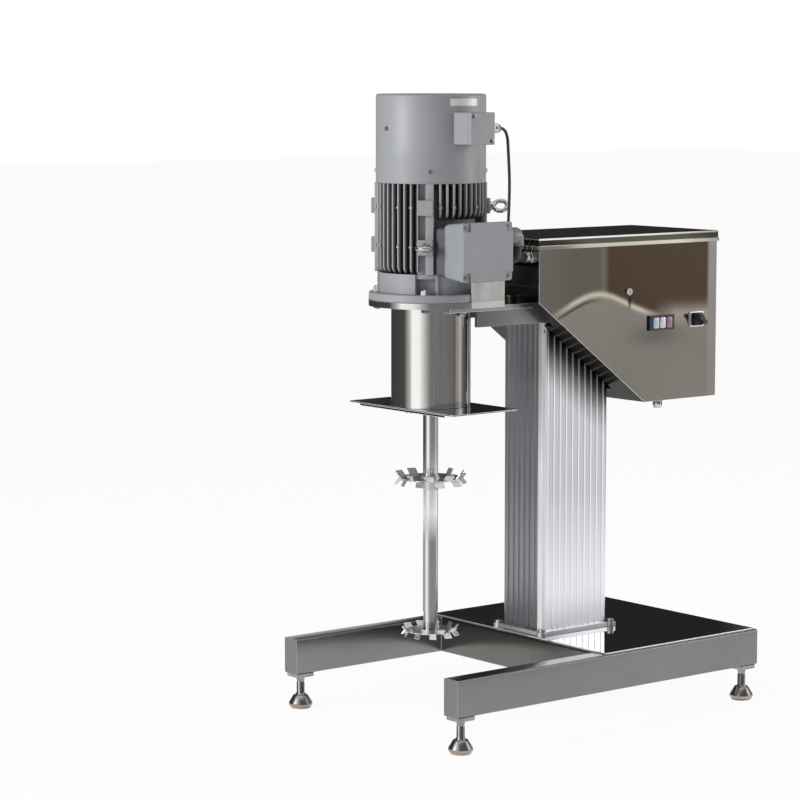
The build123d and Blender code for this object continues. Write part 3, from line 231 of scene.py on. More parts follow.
def buildBrushLines():
    # fine lines drawn out along one axis, as left by a belt or a lathe
    group, start, end = newGroup("brushLines", [("Vector", "NodeSocketVector", None), ("Stretch", "NodeSocketVector", (1, 1, 1))],
                                 [("Value", "NodeSocketFloat")])
    scale = group.nodes.new("ShaderNodeVectorMath")
    scale.operation = "MULTIPLY"
    noise = group.nodes.new("ShaderNodeTexNoise")
    noise.inputs["Scale"].default_value = 1.0
    noise.inputs["Detail"].default_value = 3.0
    group.links.new(start.outputs["Vector"], scale.inputs[0])
    group.links.new(start.outputs["Stretch"], scale.inputs[1])
    group.links.new(scale.outputs[0], noise.inputs["Vector"])
    group.links.new(noise.outputs[0], end.inputs[0])
    return group


def buildScuffs():
    # sparse short scratches and dots: 1 on a mark, 0 elsewhere
    group, start, end = newGroup("scuffs", [("Vector", "NodeSocketVector", None), ("Scale", "NodeSocketFloat", 60.0),
                                            ("Spread", "NodeSocketFloat", 0.68)], [("Mask", "NodeSocketFloat")])
    noise = group.nodes.new("ShaderNodeTexNoise")
    noise.inputs["Detail"].default_value = 6.0
    noise.inputs["Roughness"].default_value = 0.7
    noise.inputs["Distortion"].default_value = 1.2
    cut = group.nodes.new("ShaderNodeMapRange")
    cut.inputs["To Min"].default_value = 0.0
    cut.inputs["To Max"].default_value = 1.0
    top = group.nodes.new("ShaderNodeMath")
    top.operation = "ADD"
    top.inputs[1].default_value = 0.06
    group.links.new(start.outputs["Vector"], noise.inputs["Vector"])
    group.links.new(start.outputs["Scale"], noise.inputs["Scale"])
    group.links.new(noise.outputs[0], cut.inputs["Value"])
    group.links.new(start.outputs["Spread"], cut.inputs["From Min"])
    group.links.new(start.outputs["Spread"], top.inputs[0])
    group.links.new(top.outputs[0], cut.inputs["From Max"])
    group.links.new(cut.outputs[0], end.inputs[0])
    return group


softClouds, brushLines, scuffs = buildSoftClouds(), buildBrushLines(), buildScuffs()


def makeLook(name, light, dark, rough=(0.2, 0.35), metallic=1.0, cloudScale=6.0, stretch=None, grain=0.0,
             mark=(0.5, 0.5, 0.5), marks=0.0, markSpread=0.66, bump=0.0, bumpScale=400.0, coat=0.0):
    # one finish: two tones mixed by clouds, lines or grain in the surface, and a few marks
    look = bpy.data.materials.new(name)
    look.use_nodes = True
    tree = look.node_tree
    shader = tree.nodes["Principled BSDF"]
    shader.inputs["Metallic"].default_value = metallic
    shader.inputs["Coat Weight"].default_value = coat
    place = tree.nodes.new("ShaderNodeTexCoord").outputs["Object"]

    def placeGroup(kind, **values):
        node = tree.nodes.new("ShaderNodeGroup")
        node.node_tree = kind
        for title, value in values.items():
            node.inputs[title].default_value = value
        tree.links.new(place, node.inputs["Vector"])
        return node.outputs[0]

    clouds = placeGroup(softClouds, Scale=cloudScale, Contrast=2.2)
    factor = clouds
    if stretch:
        lines = placeGroup(brushLines, Stretch=stretch)
        blend = tree.nodes.new("ShaderNodeMix")
        blend.inputs[0].default_value = 0.45
        tree.links.new(clouds, blend.inputs[2])
        tree.links.new(lines, blend.inputs[3])
        factor = blend.outputs[0]
    tone = tree.nodes.new("ShaderNodeMix")
    tone.data_type = "RGBA"
    tone.inputs[6].default_value = (*light, 1)
    tone.inputs[7].default_value = (*dark, 1)
    tree.links.new(factor, tone.inputs[0])
    colour = tone.outputs[2]
    if marks:
        spots = placeGroup(scuffs, Scale=55.0, Spread=markSpread)
        weak = tree.nodes.new("ShaderNodeMath")
        weak.operation = "MULTIPLY"
        weak.inputs[1].default_value = marks
        tree.links.new(spots, weak.inputs[0])
        worn = tree.nodes.new("ShaderNodeMix")
        worn.data_type = "RGBA"
        worn.inputs[7].default_value = (*mark, 1)
        tree.links.new(weak.outputs[0], worn.inputs[0])
        tree.links.new(colour, worn.inputs[6])
        colour = worn.outputs[2]
    tree.links.new(colour, shader.inputs["Base Color"])
    spread = tree.nodes.new("ShaderNodeMapRange")
    spread.inputs["To Min"].default_value, spread.inputs["To Max"].default_value = rough
    tree.links.new(factor, spread.inputs["Value"])
    tree.links.new(spread.outputs[0], shader.inputs["Roughness"])
    height = None
    if grain and stretch:
        height, depth = lines, grain
    elif bump:
        fine = tree.nodes.new("ShaderNodeTexNoise")
        fine.inputs["Scale"].default_value = bumpScale
        fine.inputs["Detail"].default_value = 2.0
        tree.links.new(place, fine.inputs["Vector"])
        height, depth = fine.outputs[0], bump
    if height:
        relief = tree.nodes.new("ShaderNodeBump")
        relief.inputs["Strength"].default_value = 0.35
        relief.inputs["Distance"].default_value = depth * mm
        tree.links.new(height, relief.inputs["Height"])
        tree.links.new(relief.outputs[0], shader.inputs["Normal"])
    return look


def mathIn(tree, kind, a, b=0.0, clamp=False):
    # one math node; a and b are sockets or numbers
    node = tree.nodes.new("ShaderNodeMath")
    node.operation = kind
    node.use_clamp = clamp
    for k, value in enumerate((a, b)):
        if hasattr(value, "is_output"):
            tree.links.new(value, node.inputs[k])
        else:
            node.inputs[k].default_value = value
    return node.outputs[0]


def axesOf(look):
    # the look's node tree and the three object coordinates, in metres
    tree = look.node_tree
    split = tree.nodes.new("ShaderNodeSeparateXYZ")
    tree.links.new(tree.nodes.new("ShaderNodeTexCoord").outputs["Object"], split.inputs[0])
    return tree, [split.outputs[k] for k in range(3)]


def ramp(tree, value, low, high):
    # 0 at low, 1 at high, clamped; low may be the larger one
    return mathIn(tree, "MULTIPLY", mathIn(tree, "SUBTRACT", value, low), 1 / (high - low), True)


def bell(tree, value, middle, width):
    # 1 at the middle, falling to both sides as a bell curve
    away = mathIn(tree, "DIVIDE", mathIn(tree, "SUBTRACT", value, middle), width)
    return mathIn(tree, "EXPONENT", mathIn(tree, "MULTIPLY", mathIn(tree, "MULTIPLY", away, away), -1.0))


def product(tree, *values):
    result = values[0]
    for value in values[1:]:
        result = mathIn(tree, "MULTIPLY", result, value)
    return result


def paintOver(look, mask, colour):
    # lays one more tone over the base colour where the mask is 1
    tree = look.node_tree
    target = tree.nodes["Principled BSDF"].inputs["Base Color"]
    mix = tree.nodes.new("ShaderNodeMix")
    mix.data_type = "RGBA"
    mix.inputs[7].default_value = (*colour, 1)
    tree.links.new(mask, mix.inputs[0])
    tree.links.new(target.links[0].from_socket, mix.inputs[6])
    tree.links.new(mix.outputs[2], target)


railSteel = makeLook("railSteel", (0.27, 0.265, 0.26), (0.20, 0.197, 0.193), (0.16, 0.30), cloudScale=3.0,
                     stretch=(900, 14, 900), grain=0.02, mark=(0.5, 0.5, 0.5), marks=0.25)
crossSteel = makeLook("crossSteel", (0.20, 0.195, 0.185), (0.13, 0.127, 0.12), (0.14, 0.26), cloudScale=3.0,
                      stretch=(14, 900, 900), grain=0.02)
deckMirror = makeLook("deckMirror", (0.74, 0.74, 0.75), (0.62, 0.62, 0.63), (0.03, 0.07), cloudScale=5.0, marks=0.1)
armSteel = makeLook("armSteel", (0.42, 0.42, 0.425), (0.27, 0.27, 0.275), (0.14, 0.30), cloudScale=7.0,
                    stretch=(700, 20, 700), grain=0.02, mark=(0.7, 0.7, 0.7), marks=0.3)
tubeMirror = makeLook("tubeMirror", (0.97, 0.97, 0.96), (0.82, 0.82, 0.81), (0.05, 0.12), cloudScale=4.0,
                      stretch=(500, 500, 30), grain=0.01, mark=(0.25, 0.25, 0.25), marks=0.12)
seatMirror = makeLook("seatMirror", (0.90, 0.90, 0.90), (0.66, 0.66, 0.66), (0.06, 0.14), cloudScale=9.0)
cheekSteel = makeLook("cheekSteel", (0.72, 0.72, 0.73), (0.50, 0.50, 0.51), (0.10, 0.2), cloudScale=30.0)
trayMirror = makeLook("trayMirror", (0.36, 0.36, 0.365), (0.27, 0.27, 0.275), (0.05, 0.11), cloudScale=6.0)
shaftSteel = makeLook("shaftSteel", (0.92, 0.92, 0.91), (0.76, 0.76, 0.75), (0.10, 0.18), cloudScale=9.0,
                      stretch=(90, 90, 1800), grain=0.02)
discSteel = makeLook("discSteel", (0.78, 0.78, 0.78), (0.52, 0.52, 0.52), (0.16, 0.30), metallic=0.8, cloudScale=40.0, bump=0.02)
columnAluminium = makeLook("columnAluminium", (0.62, 0.63, 0.665), (0.53, 0.54, 0.575), (0.26, 0.36), cloudScale=2.0,
                           stretch=(260, 260, 2.5), grain=0.03)
plateAluminium = makeLook("plateAluminium", (0.60, 0.605, 0.63), (0.50, 0.505, 0.53), (0.28, 0.40), cloudScale=12.0, bump=0.03)
chromePlate = makeLook("chromePlate", (0.68, 0.68, 0.69), (0.50, 0.50, 0.51), (0.08, 0.18), cloudScale=60.0)
footSteel = makeLook("footSteel", (0.42, 0.415, 0.40), (0.26, 0.255, 0.25), (0.14, 0.26), cloudScale=40.0, bump=0.02)
greyPaint = makeLook("greyPaint", (0.30, 0.31, 0.325), (0.265, 0.273, 0.287), (0.42, 0.55), metallic=0.0, cloudScale=9.0,
                     mark=(0.40, 0.41, 0.42), marks=0.2, bump=0.05, bumpScale=900.0)
coverPaint = makeLook("coverPaint", (0.285, 0.295, 0.32), (0.25, 0.26, 0.285), (0.40, 0.52), metallic=0.0, cloudScale=14.0,
                      bump=0.05, bumpScale=900.0)
shadowPaint = makeLook("shadowPaint", (0.10, 0.104, 0.11), (0.07, 0.073, 0.078), (0.5, 0.65), metallic=0.0, cloudScale=12.0)
hubPlastic = makeLook("hubPlastic", (0.20, 0.205, 0.215), (0.15, 0.153, 0.16), (0.35, 0.5), metallic=0.0, cloudScale=30.0)
blackRubber = makeLook("blackRubber", (0.022, 0.022, 0.024), (0.012, 0.012, 0.013), (0.4, 0.55), metallic=0.0, cloudScale=40.0)
blackPlastic = makeLook("blackPlastic", (0.018, 0.018, 0.024), (0.010, 0.010, 0.014), (0.18, 0.3), metallic=0.0, cloudScale=40.0)
bluePlastic = makeLook("bluePlastic", (0.47, 0.62, 0.72), (0.38, 0.54, 0.66), (0.2, 0.3), metallic=0.0, cloudScale=90.0)
palePlastic = makeLook("palePlastic", (0.76, 0.66, 0.72), (0.68, 0.56, 0.64), (0.2, 0.3), metallic=0.0, cloudScale=90.0)
mauvePlastic = makeLook("mauvePlastic", (0.32, 0.22, 0.30), (0.25, 0.16, 0.24), (0.2, 0.3), metallic=0.0, cloudScale=90.0)
padTan = makeLook("padTan", (0.62, 0.36, 0.15), (0.52, 0.28, 0.10), (0.45, 0.6), metallic=0.0, cloudScale=60.0)
brassLook = makeLook("brassLook", (0.52, 0.46, 0.27), (0.36, 0.30, 0.16), (0.2, 0.35), cloudScale=60.0)
panelFar = makeLook("panelFar", (0.27, 0.26, 0.245), (0.19, 0.18, 0.17), (0.06, 0.14), cloudScale=3.0, marks=0.1)
frontMirror = makeLook("frontMirror", (0.30, 0.30, 0.295), (0.18, 0.18, 0.18), (0.05, 0.12), cloudScale=6.0)
lidMirror = makeLook("lidMirror", (0.62, 0.62, 0.63), (0.50, 0.50, 0.51), (0.04, 0.10), metallic=0.94, cloudScale=5.0)
rimSteel = makeLook("rimSteel", (0.56, 0.55, 0.53), (0.40, 0.39, 0.375), (0.08, 0.18), cloudScale=8.0,
                    stretch=(700, 16, 700), grain=0.02)
# painted reflection: the slanted floor panel under the box is near black, as the dark it mirrors, with only a faint
# specular share of its own
floorMirror = makeLook("floorMirror", (0.010, 0.010, 0.011), (0.006, 0.006, 0.007), (0.10, 0.18), metallic=0.0, cloudScale=6.0)
floorMirror.node_tree.nodes["Principled BSDF"].inputs["Specular IOR Level"].default_value = 0.05
# painted highlight: a near-white steel laid on the bevels of polished parts so that their edges show as bright lines;
# the selector knob's frame uses it too
edgeSteel = makeLook("edgeSteel", (0.95, 0.95, 0.94), (0.80, 0.80, 0.79), (0.2, 0.3), metallic=0.55, cloudScale=30.0)
# painted highlight: a near-white aluminium laid on the column's bevels so that its ridges and corners show as light
# lines
ridgeHighlightAluminium = makeLook("ridgeHighlightAluminium", (0.95, 0.95, 0.98), (0.85, 0.85, 0.89), (0.25, 0.35), metallic=0.6, cloudScale=8.0)
finPaint = makeLook("finPaint", (0.33, 0.335, 0.345), (0.29, 0.295, 0.305), (0.42, 0.55), metallic=0.0, cloudScale=9.0,
                    bump=0.05, bumpScale=900.0)
insideZinc = makeLook("insideZinc", (0.40, 0.40, 0.41), (0.30, 0.30, 0.31), (0.3, 0.45), cloudScale=12.0)
ironLook = makeLook("ironLook", (0.13, 0.13, 0.13), (0.09, 0.09, 0.09), (0.35, 0.5), cloudScale=30.0)
labelBlank = makeLook("labelBlank", (0.72, 0.72, 0.73), (0.64, 0.64, 0.65), (0.3, 0.4), metallic=0.0, cloudScale=60.0)
boxGrey = makeLook("boxGrey", (0.24, 0.245, 0.25), (0.19, 0.195, 0.2), (0.4, 0.55), metallic=0.0, cloudScale=30.0)

# between the fins the paint lies in deep shade
tree, (x, y, z) = axesOf(finPaint)
fromAxis = mathIn(tree, "SUBTRACT", y, motorY * mm)
radius = mathIn(tree, "SQRT", mathIn(tree, "ADD", product(tree, x, x), product(tree, fromAxis, fromAxis)))
paintOver(finPaint, mathIn(tree, "MULTIPLY", ramp(tree, radius, 0.1105, 0.1035), 0.93), (0.012, 0.012, 0.013))

# painted light and shade on the column: near white low on the +X side, darker over the front, a bright front corner,
# and near black below the box's slanted edge, where it would mirror the box's dark underside
tree, (x, y, z) = axesOf(columnAluminium)
slant = mathIn(tree, "SUBTRACT", 0.855, mathIn(tree, "MULTIPLY", mathIn(tree, "ADD", y, 0.0845), 0.75))
below = mathIn(tree, "SUBTRACT", slant, z)
onSide = ramp(tree, x, 0.0575, 0.0595)
# painted reflection: the +X side turns near white towards its foot
paintOver(columnAluminium, product(tree, ramp(tree, z, 0.45, 0.17), onSide), (0.92, 0.93, 0.98))
# painted shade: the front face darker, fully below 0.5 m and fading out by 0.8 m
paintOver(columnAluminium, product(tree, ramp(tree, y, -0.0075, -0.0085), ramp(tree, z, 0.80, 0.50), 0.8), (0.24, 0.245, 0.26))
# painted highlight: a bright, less metallic strip along the front of the +X corner
corner = product(tree, ramp(tree, x, 0.0455, 0.0465), ramp(tree, y, -0.001, -0.003))
paintOver(columnAluminium, corner, (0.92, 0.92, 0.94))
matte = mathIn(tree, "SUBTRACT", 1.0, mathIn(tree, "MULTIPLY", corner, 0.75))
tree.links.new(matte, tree.nodes["Principled BSDF"].inputs["Metallic"])
# painted reflection of the box's dark underside: near black on the +X side below the slanted edge
paintOver(columnAluminium, product(tree, ramp(tree, below, 0.115, 0.0), onSide, ramp(tree, y, -0.004, 0.002)), (0.008, 0.008, 0.009))
# painted highlight: narrow light lines on the ridges between the grooves of that side
across = mathIn(tree, "FRACT", mathIn(tree, "DIVIDE", mathIn(tree, "SUBTRACT", y, (columnY - 8.6 * 16) * mm), 0.0172))
ridge = product(tree, bell(tree, across, 0.5, 0.07), ramp(tree, x, 0.0612, 0.0618))
paintOver(columnAluminium, ridge, (1.0, 1.0, 1.0))

# painted reflections on the tube: upright dark streaks and a dimmer strip where the arm stands
tree, (x, y, z) = axesOf(tubeMirror)
reflectedStreaks = tree.nodes.new("ShaderNodeGroup")
reflectedStreaks.node_tree = brushLines
reflectedStreaks.inputs["Stretch"].default_value = (150, 150, 1.5)
tree.links.new(tree.nodes.new("ShaderNodeTexCoord").outputs["Object"], reflectedStreaks.inputs["Vector"])
paintOver(tubeMirror, product(tree, ramp(tree, reflectedStreaks.outputs[0], 0.56, 0.70), 0.6), (0.34, 0.33, 0.32))
heading = mathIn(tree, "ARCTAN2", mathIn(tree, "SUBTRACT", y, motorY * mm), x)
paintOver(tubeMirror, bell(tree, heading, 0.03, 0.13), (0.40, 0.37, 0.36))
# painted shade and highlights: low down, where the shaft would mirror the floor, it is painted a darker grey with two
# painted highlight lines
tree, (x, y, z) = axesOf(shaftSteel)
low = ramp(tree, z, 0.43, 0.37)
paintOver(shaftSteel, low, (0.24, 0.235, 0.23))
heading = mathIn(tree, "ARCTAN2", mathIn(tree, "SUBTRACT", y, motorY * mm), x)
paintOver(shaftSteel, product(tree, low, bell(tree, heading, -1.22, 0.25)), (0.85, 0.85, 0.84))
paintOver(shaftSteel, product(tree, low, bell(tree, heading, 0.45, 0.25)), (0.70, 0.70, 0.69))
# painted reflections that the lid shows from the side: a bright hem, a dark band and a bright upper line
tree, (x, y, z) = axesOf(lidMirror)
paintOver(lidMirror, ramp(tree, z, 0.9853, 0.9850), (0.90, 0.89, 0.86))
paintOver(lidMirror, ramp(tree, z, 0.9818, 0.9812), (0.16, 0.14, 0.12))
paintOver(lidMirror, ramp(tree, z, 0.9708, 0.9704), (0.86, 0.82, 0.75))
print("looks made")
print("looks made")


# ---- camera ----
cameraPlace = {"at": (4.4248, -3.8936, 1.3243), "azimuth": 51.228, "down": 6.619, "lens": 128.23}
cameraData = bpy.data.cameras.new("camera")
camera = bpy.data.objects.new("camera", cameraData)
bpy.context.scene.collection.objects.link(camera)
camera.location = cameraPlace["at"]
camera.rotation_euler = (np.radians(90 - cameraPlace["down"]), 0, np.radians(cameraPlace["azimuth"]))
cameraData.lens = cameraPlace["lens"]
cameraData.sensor_width = 36
cameraData.clip_end = 60
bpy.context.scene.camera = camera


# ---- cables first ----
def splineOf(name, route, thick=0.0):
    # a smooth spline whose control points are the route
    curve = bpy.data.curves.new(name, "CURVE")
    curve.dimensions = "3D"
    curve.resolution_u = 24
    curve.render_resolution_u = 24
    curve.bevel_depth = thick * mm
    curve.bevel_resolution = 6
    curve.use_fill_caps = True
    spline = curve.splines.new("NURBS")
    spline.points.add(len(route) - 1)
    spline.points.foreach_set("co", np.c_[np.array(route, float) * mm, np.ones(len(route))].ravel())
    spline.order_u = 3
    spline.use_endpoint_u = True
    return bpy.data.objects.new(name, curve)


fanLeadSet = {
    "radius": 3.0,
    "route": [(140, -199, 1209), (140, -180, 1209), (140.5, -176, 1150), (140, -172.5, 1100), (140.5, -175, 1040),
              (140, -179, 960), (140, -195.25, 960)],
}
fanLead = splineOf("fanLead", fanLeadSet["route"], fanLeadSet["radius"])
fanLead.data.materials.append(blackRubber)
bpy.context.scene.collection.objects.link(fanLead)
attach(fanLead, "head")
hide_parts("fan_lead")

conduitSet = {
    "radius": 9.5, "rib": 0.9, "ribPitch": 3.2,
    "route": [(166, -174.25, 977), (166, -174.25, 948), (107, -155, 948), (107, -104.5, 948)],
}
guide = splineOf("conduitGuide", conduitSet["route"])
bpy.context.scene.collection.objects.link(guide)
bpy.context.view_layer.update()
guideMesh = bpy.data.meshes.new_from_object(guide)
guideLine = np.empty(len(guideMesh.vertices) * 3)
guideMesh.vertices.foreach_get("co", guideLine)
guideLine = guideLine.reshape(-1, 3) / mm
bpy.data.meshes.remove(guideMesh)
bpy.data.objects.remove(guide)
run = np.r_[0, np.cumsum(np.linalg.norm(np.diff(guideLine, axis=0), axis=1))]
even = np.linspace(0, run[-1], int(run[-1] / conduitSet["ribPitch"]) * 6 + 1)
conduitLine = np.stack([np.interp(even, run, guideLine[:, k]) for k in range(3)], -1)
ribs = conduitSet["radius"] - conduitSet["rib"] * (0.5 - 0.5 * np.cos(2 * np.pi * even / conduitSet["ribPitch"]))
makePiece("corrugatedConduit", [tubeAlong(conduitLine, ribs, 28, (0.3, 0.9, 0.6))], [blackRubber], "head", ["conduit"],
          bevel=0)
print("camera and cables made")


# ---- base ----
baseSet = {"railX": 260, "railZ": 112.5, "railSize": (42, 75), "round": 4.0, "front": -422, "rear": 403,
           "crossY": (-12, 382), "bearerX": (-66, 66), "bearerY": (9, 361)}
railShells = [prism(plateOutline(*baseSet["railSize"], baseSet["round"], (side * baseSet["railX"], baseSet["railZ"])),
                    -baseSet["rear"], -baseSet["front"], "-y") for side in (-1, 1)]
weldDot = {"at": (281.0, 341.0, 94.0), "radius": 2.2}
railShells.append(turned([(weldDot["radius"], 280.7), (weldDot["radius"], 281.02)], weldDot["at"][1:], "x", 20, look=1))
makePiece("sideRails", railShells, [railSteel, shadowPaint], "base", ["side_rails"], bevel=1.4, segments=3,
          edgeHighlightLook=edgeSteel)

crossShells = [prism(plateOutline(*baseSet["railSize"], baseSet["round"], (y, baseSet["railZ"])), -239, 239, "x")
               for y in baseSet["crossY"]]
crossShells += [prism(plateOutline(42, 75, 3, (x, baseSet["railZ"])), -baseSet["bearerY"][1], -baseSet["bearerY"][0], "-y")
                for x in baseSet["bearerX"]]
crossShells += [turned([(1.6, 77), (1.9, 79), (1.9, 148), (1.4, 150)], (side * 238.2, y), "z", 14, look=1)
                for side in (-1, 1) for y in (-33.4,)]
makePiece("crossRails", crossShells, [crossSteel, railSteel], "base", ["cross_rails"], bevel=0.8)

deckSet = {"size": (550, 424), "middle": (0, 185), "low": 150, "top": 153, "corner": 4}
makePiece("deckSheet", [prism(plateOutline(*deckSet["size"], deckSet["corner"], deckSet["middle"]), deckSet["low"], deckSet["top"])],
          [deckMirror], "base", ["deck_plate"], bevel=0.9, segments=3, edgeHighlightLook=edgeSteel)

footSet = {"front": -397, "rear": 378, "plate": (40, 42, 8), "stud": 8.5, "cup": 25}
footAt = {"front_left": (-260, -397), "front_right": (260, -397), "rear_left": (-260, 378), "rear_right": (260, 378)}
makePiece("footPlates", [prism(plateOutline(40, 42, 3, at), 67, 75) for at in footAt.values()], [footSteel], "base",
          ["foot_mount_plates"], bevel=0.8)
cupProfile = [(20.5, 3.6), (22.5, 4.2), (24.4, 6.8), (25, 9.8), (24.4, 12), (16.4, 25.2), (15.5, 26.6), (14.4, 27.8),
              (11.2, 28.2), (10.2, 29.5), (9.2, 31.5), (8.5, 33), (8.5, 53), (8.1, 54), (7.6, 55), (7.6, 58), (8.5, 59.5),
              (8.5, 66.6), (8.2, 75.4), (8.2, 108), (7.2, 110)]
for footName, at in footAt.items():
    pad = turned([(18.5, 0), (20.4, 0.5), (21.4, 2.2), (21.6, 4.2)], at, "z", 64, look=1)
    makePiece("levelling_" + footName, [turned(cupProfile, at, "z", 64), pad], [footSteel, padTan], "foot_" + footName,
              ["foot_" + footName], bevel=0, angle=40)
print("base made")


# ---- column ----
columnSet = {"size": (125, 182), "corner": 8, "low": 163, "top": 806, "groove": 10, "depth": 2.5,
             "front": (6, 16.5), "side": (9, 17.2), "bore": (110, 167)}


def groovedEdge(start, end, count, pitch, width, depth, lip=1.1):
    # points along one straight side, stepping inwards by depth at each groove
    start, end = np.array(start, float), np.array(end, float)
    along = (end - start) / np.linalg.norm(end - start)
    inward = np.array([-along[1], along[0]])
    middle = (start + end) / 2
    centres = (np.arange(count) - (count - 1) / 2) * pitch
    step = np.array([-width / 2 - lip, -width / 2, width / 2, width / 2 + lip])
    drop = np.array([0, depth, depth, 0])
    s = (centres[:, None] + step[None, :]).ravel()
    d = np.tile(drop, count)
    return middle + s[:, None] * along + d[:, None] * inward


halfX, halfY, corner = columnSet["size"][0] / 2, columnSet["size"][1] / 2, columnSet["corner"]
loop = rounded([(-halfX, -halfY), (halfX, -halfY), (halfX, halfY), (-halfX, halfY)], corner, 8).reshape(4, 8, 2)
edges = [groovedEdge((-halfX, -halfY), (halfX, -halfY), *columnSet["front"], columnSet["groove"], columnSet["depth"]),
         groovedEdge((halfX, -halfY), (halfX, halfY), *columnSet["side"], 12.6, 1.3, 0.8),
         groovedEdge((halfX, halfY), (-halfX, halfY), *columnSet["front"], columnSet["groove"], columnSet["depth"]),
         groovedEdge((-halfX, halfY), (-halfX, -halfY), *columnSet["side"], 12.6, 1.3, 0.8)]
columnLoop = np.concatenate([part for k in range(4) for part in (loop[k], edges[k])]) + np.array([0, columnY])
boreLoop = plateOutline(*columnSet["bore"], 3, (0, columnY))


def hollowPrism(outer, inner, low, high, look=0):
    # a tube with any two outlines; the end faces join points at the same angle round the middle
    middle = (outer.max(0) + outer.min(0)) / 2
    heading = np.arctan2(*(outer - middle).T[::-1])
    innerHeading = np.arctan2(*(inner - middle).T[::-1])
    order = np.argsort(innerHeading)
    matched = np.stack([np.interp(heading, innerHeading[order], inner[order, k], period=2 * np.pi) for k in range(2)], -1)
    rows = [(outer, low), (outer, high), (matched, high), (matched, low)]
    return skin(np.stack([onAxis("z", line[:, 0], line[:, 1], np.full(len(line), h)) for line, h in rows]), closedU=True, look=look)


cornerScrew = turned([(2.6, 60.9), (2.6, 61.62)], (-7.2, 789), "x", 18, look=1)
makePiece("columnProfile", [hollowPrism(columnLoop, boreLoop, columnSet["low"], columnSet["top"]), cornerScrew],
          [columnAluminium, blackPlastic], "base", ["column_outer_profile"], bevel=0.45, angle=25, edgeHighlightLook=ridgeHighlightAluminium)

basePlateSet = {"size": (146, 202), "lobe": 11, "lobeAt": (69, 97), "low": 153, "top": 163}
lobes = [(sx * basePlateSet["lobeAt"][0], columnY + sy * basePlateSet["lobeAt"][1]) for sx in (-1, 1) for sy in (-1, 1)]
makePiece("columnPlate", [prism(plateOutline(*basePlateSet["size"], 6, (0, columnY)), 153, 163)]
          + [turned([(11, 153), (11, 163)], at, "z", 40) for at in lobes], [plateAluminium], "base", ["column_base_plate"],
          bevel=1.0)
makePiece("columnScrews", [turned([(7.5, 163), (7.5, 168.2), (6.8, 169), (4, 169), (3.6, 165.5)], at, "z", 32) for at in lobes],
          [chromePlate], "base", ["column_base_screws"], bevel=0, angle=40)
print("column made")


# ---- arm and spindle housing ----
armSet = {"half": 94, "front": -289, "rear": 180, "notch": 80.5, "low": 843, "top": 853}
arc = np.radians(np.linspace(180, 0, 49))
notchArc = np.stack([armSet["notch"] * np.cos(arc), motorY + armSet["notch"] * np.sin(arc)], -1)
armLoop = np.concatenate([[(94, -289), (94, 180), (-94, 180), (-94, -289), (-80.5, -289)], notchArc, [(80.5, -289)]])
makePiece("armPlate", [prism(armLoop, armSet["low"], armSet["top"])], [armSteel], "head", ["arm_plate"], bevel=0.7,
          edgeHighlightLook=edgeSteel)
barShells = [prism(plateOutline(9.5, 396, 1, (side * 89.25, -18)), 811, 843) for side in (-1, 1)]
makePiece("armBars", barShells, [armSteel], "head", ["arm_side_bars"], bevel=0.7)

housingSet = {"radius": 80.5, "inner": 74.5, "low": 650, "top": 853}
housingProfile = ringProfile(80.5, 74.5, 650, 853, 0.6)
seamShell = prism(plateOutline(2.4, 203, 0.4, (0, 0)), 80.1, 80.75, "x")
seamPoints = spun(seamShell[0] + np.array([0, 0, 751.5]), -41.8) + np.array([0, motorY, 0])
innerWalls = [turned(ringProfile(75, 31, z, z + 18), (0, motorY), "z", 72, ring=True) for z in (650, 770)]
makePiece("spindleHousing", [turned(housingProfile, (0, motorY), "z", 128, ring=True), (seamPoints, seamShell[1], 0)] + innerWalls,
          [tubeMirror], "head", ["spindle_housing"], bevel=0, angle=35)

seatSet = {"radius": 126, "half": 128, "rear": -174, "low": 853, "top": 865, "cheek": 905}
arc = np.radians(np.linspace(180, 360, 65))
seatLoop = np.concatenate([np.stack([126 * np.cos(arc), motorY + 126 * np.sin(arc)], -1),
                           [(128, motorY), (128, -174), (-128, -174), (-128, motorY)]])
boreLoop = np.stack([74.5 * np.cos(turn(72)), motorY + 74.5 * np.sin(turn(72))], -1)
makePiece("motorSeat", [hollowPrism(seatLoop, boreLoop, seatSet["low"], seatSet["top"])], [seatMirror], "head", ["seat_flange"],
          bevel=0.8, segments=3, edgeHighlightLook=edgeSteel)
makePiece("seatCheeks", [prism(plateOutline(2, 86, 0.3, (side * 127, -217), 2), seatSet["top"], seatSet["cheek"]) for side in (-1, 1)],
          [cheekSteel], "head", ["seat_cheeks"], bevel=0.4, edgeHighlightLook=edgeSteel)

coverSet = {"size": (333, 173), "middle": (0, -254.5), "low": 647, "top": 650, "corner": 7}
coverShells = [prism(plateOutline(333, 173, 7, coverSet["middle"]), 647, 650),
               prism(plateOutline(269, 2.5, 0.8, (0, -335)), 642, 647), prism(plateOutline(269, 2.5, 0.8, (0, -174)), 642, 647)]
makePiece("splashCover", coverShells, [trayMirror], "head", ["cover_plate"], bevel=1.4, segments=3,
          edgeHighlightLook=edgeSteel)
print("arm and housing made")


# ---- motor ----
shieldSet = {"flange": 125, "low": 865, "flangeTop": 881, "drum": 105, "top": 921, "boltCircle": 107.5}
diagonals = (-135, -45, 45, 135)
shieldShells = [turned([(30, 865), (123.5, 865), (125, 866.5), (125, 879.5), (123.5, 881), (30, 881)], (0, motorY), "z", 128, ring=True),
                turned([(84, 881), (88, 881), (90, 909), (105, 912), (105, 921), (84, 921)], (0, motorY), "z", 96, ring=True)]


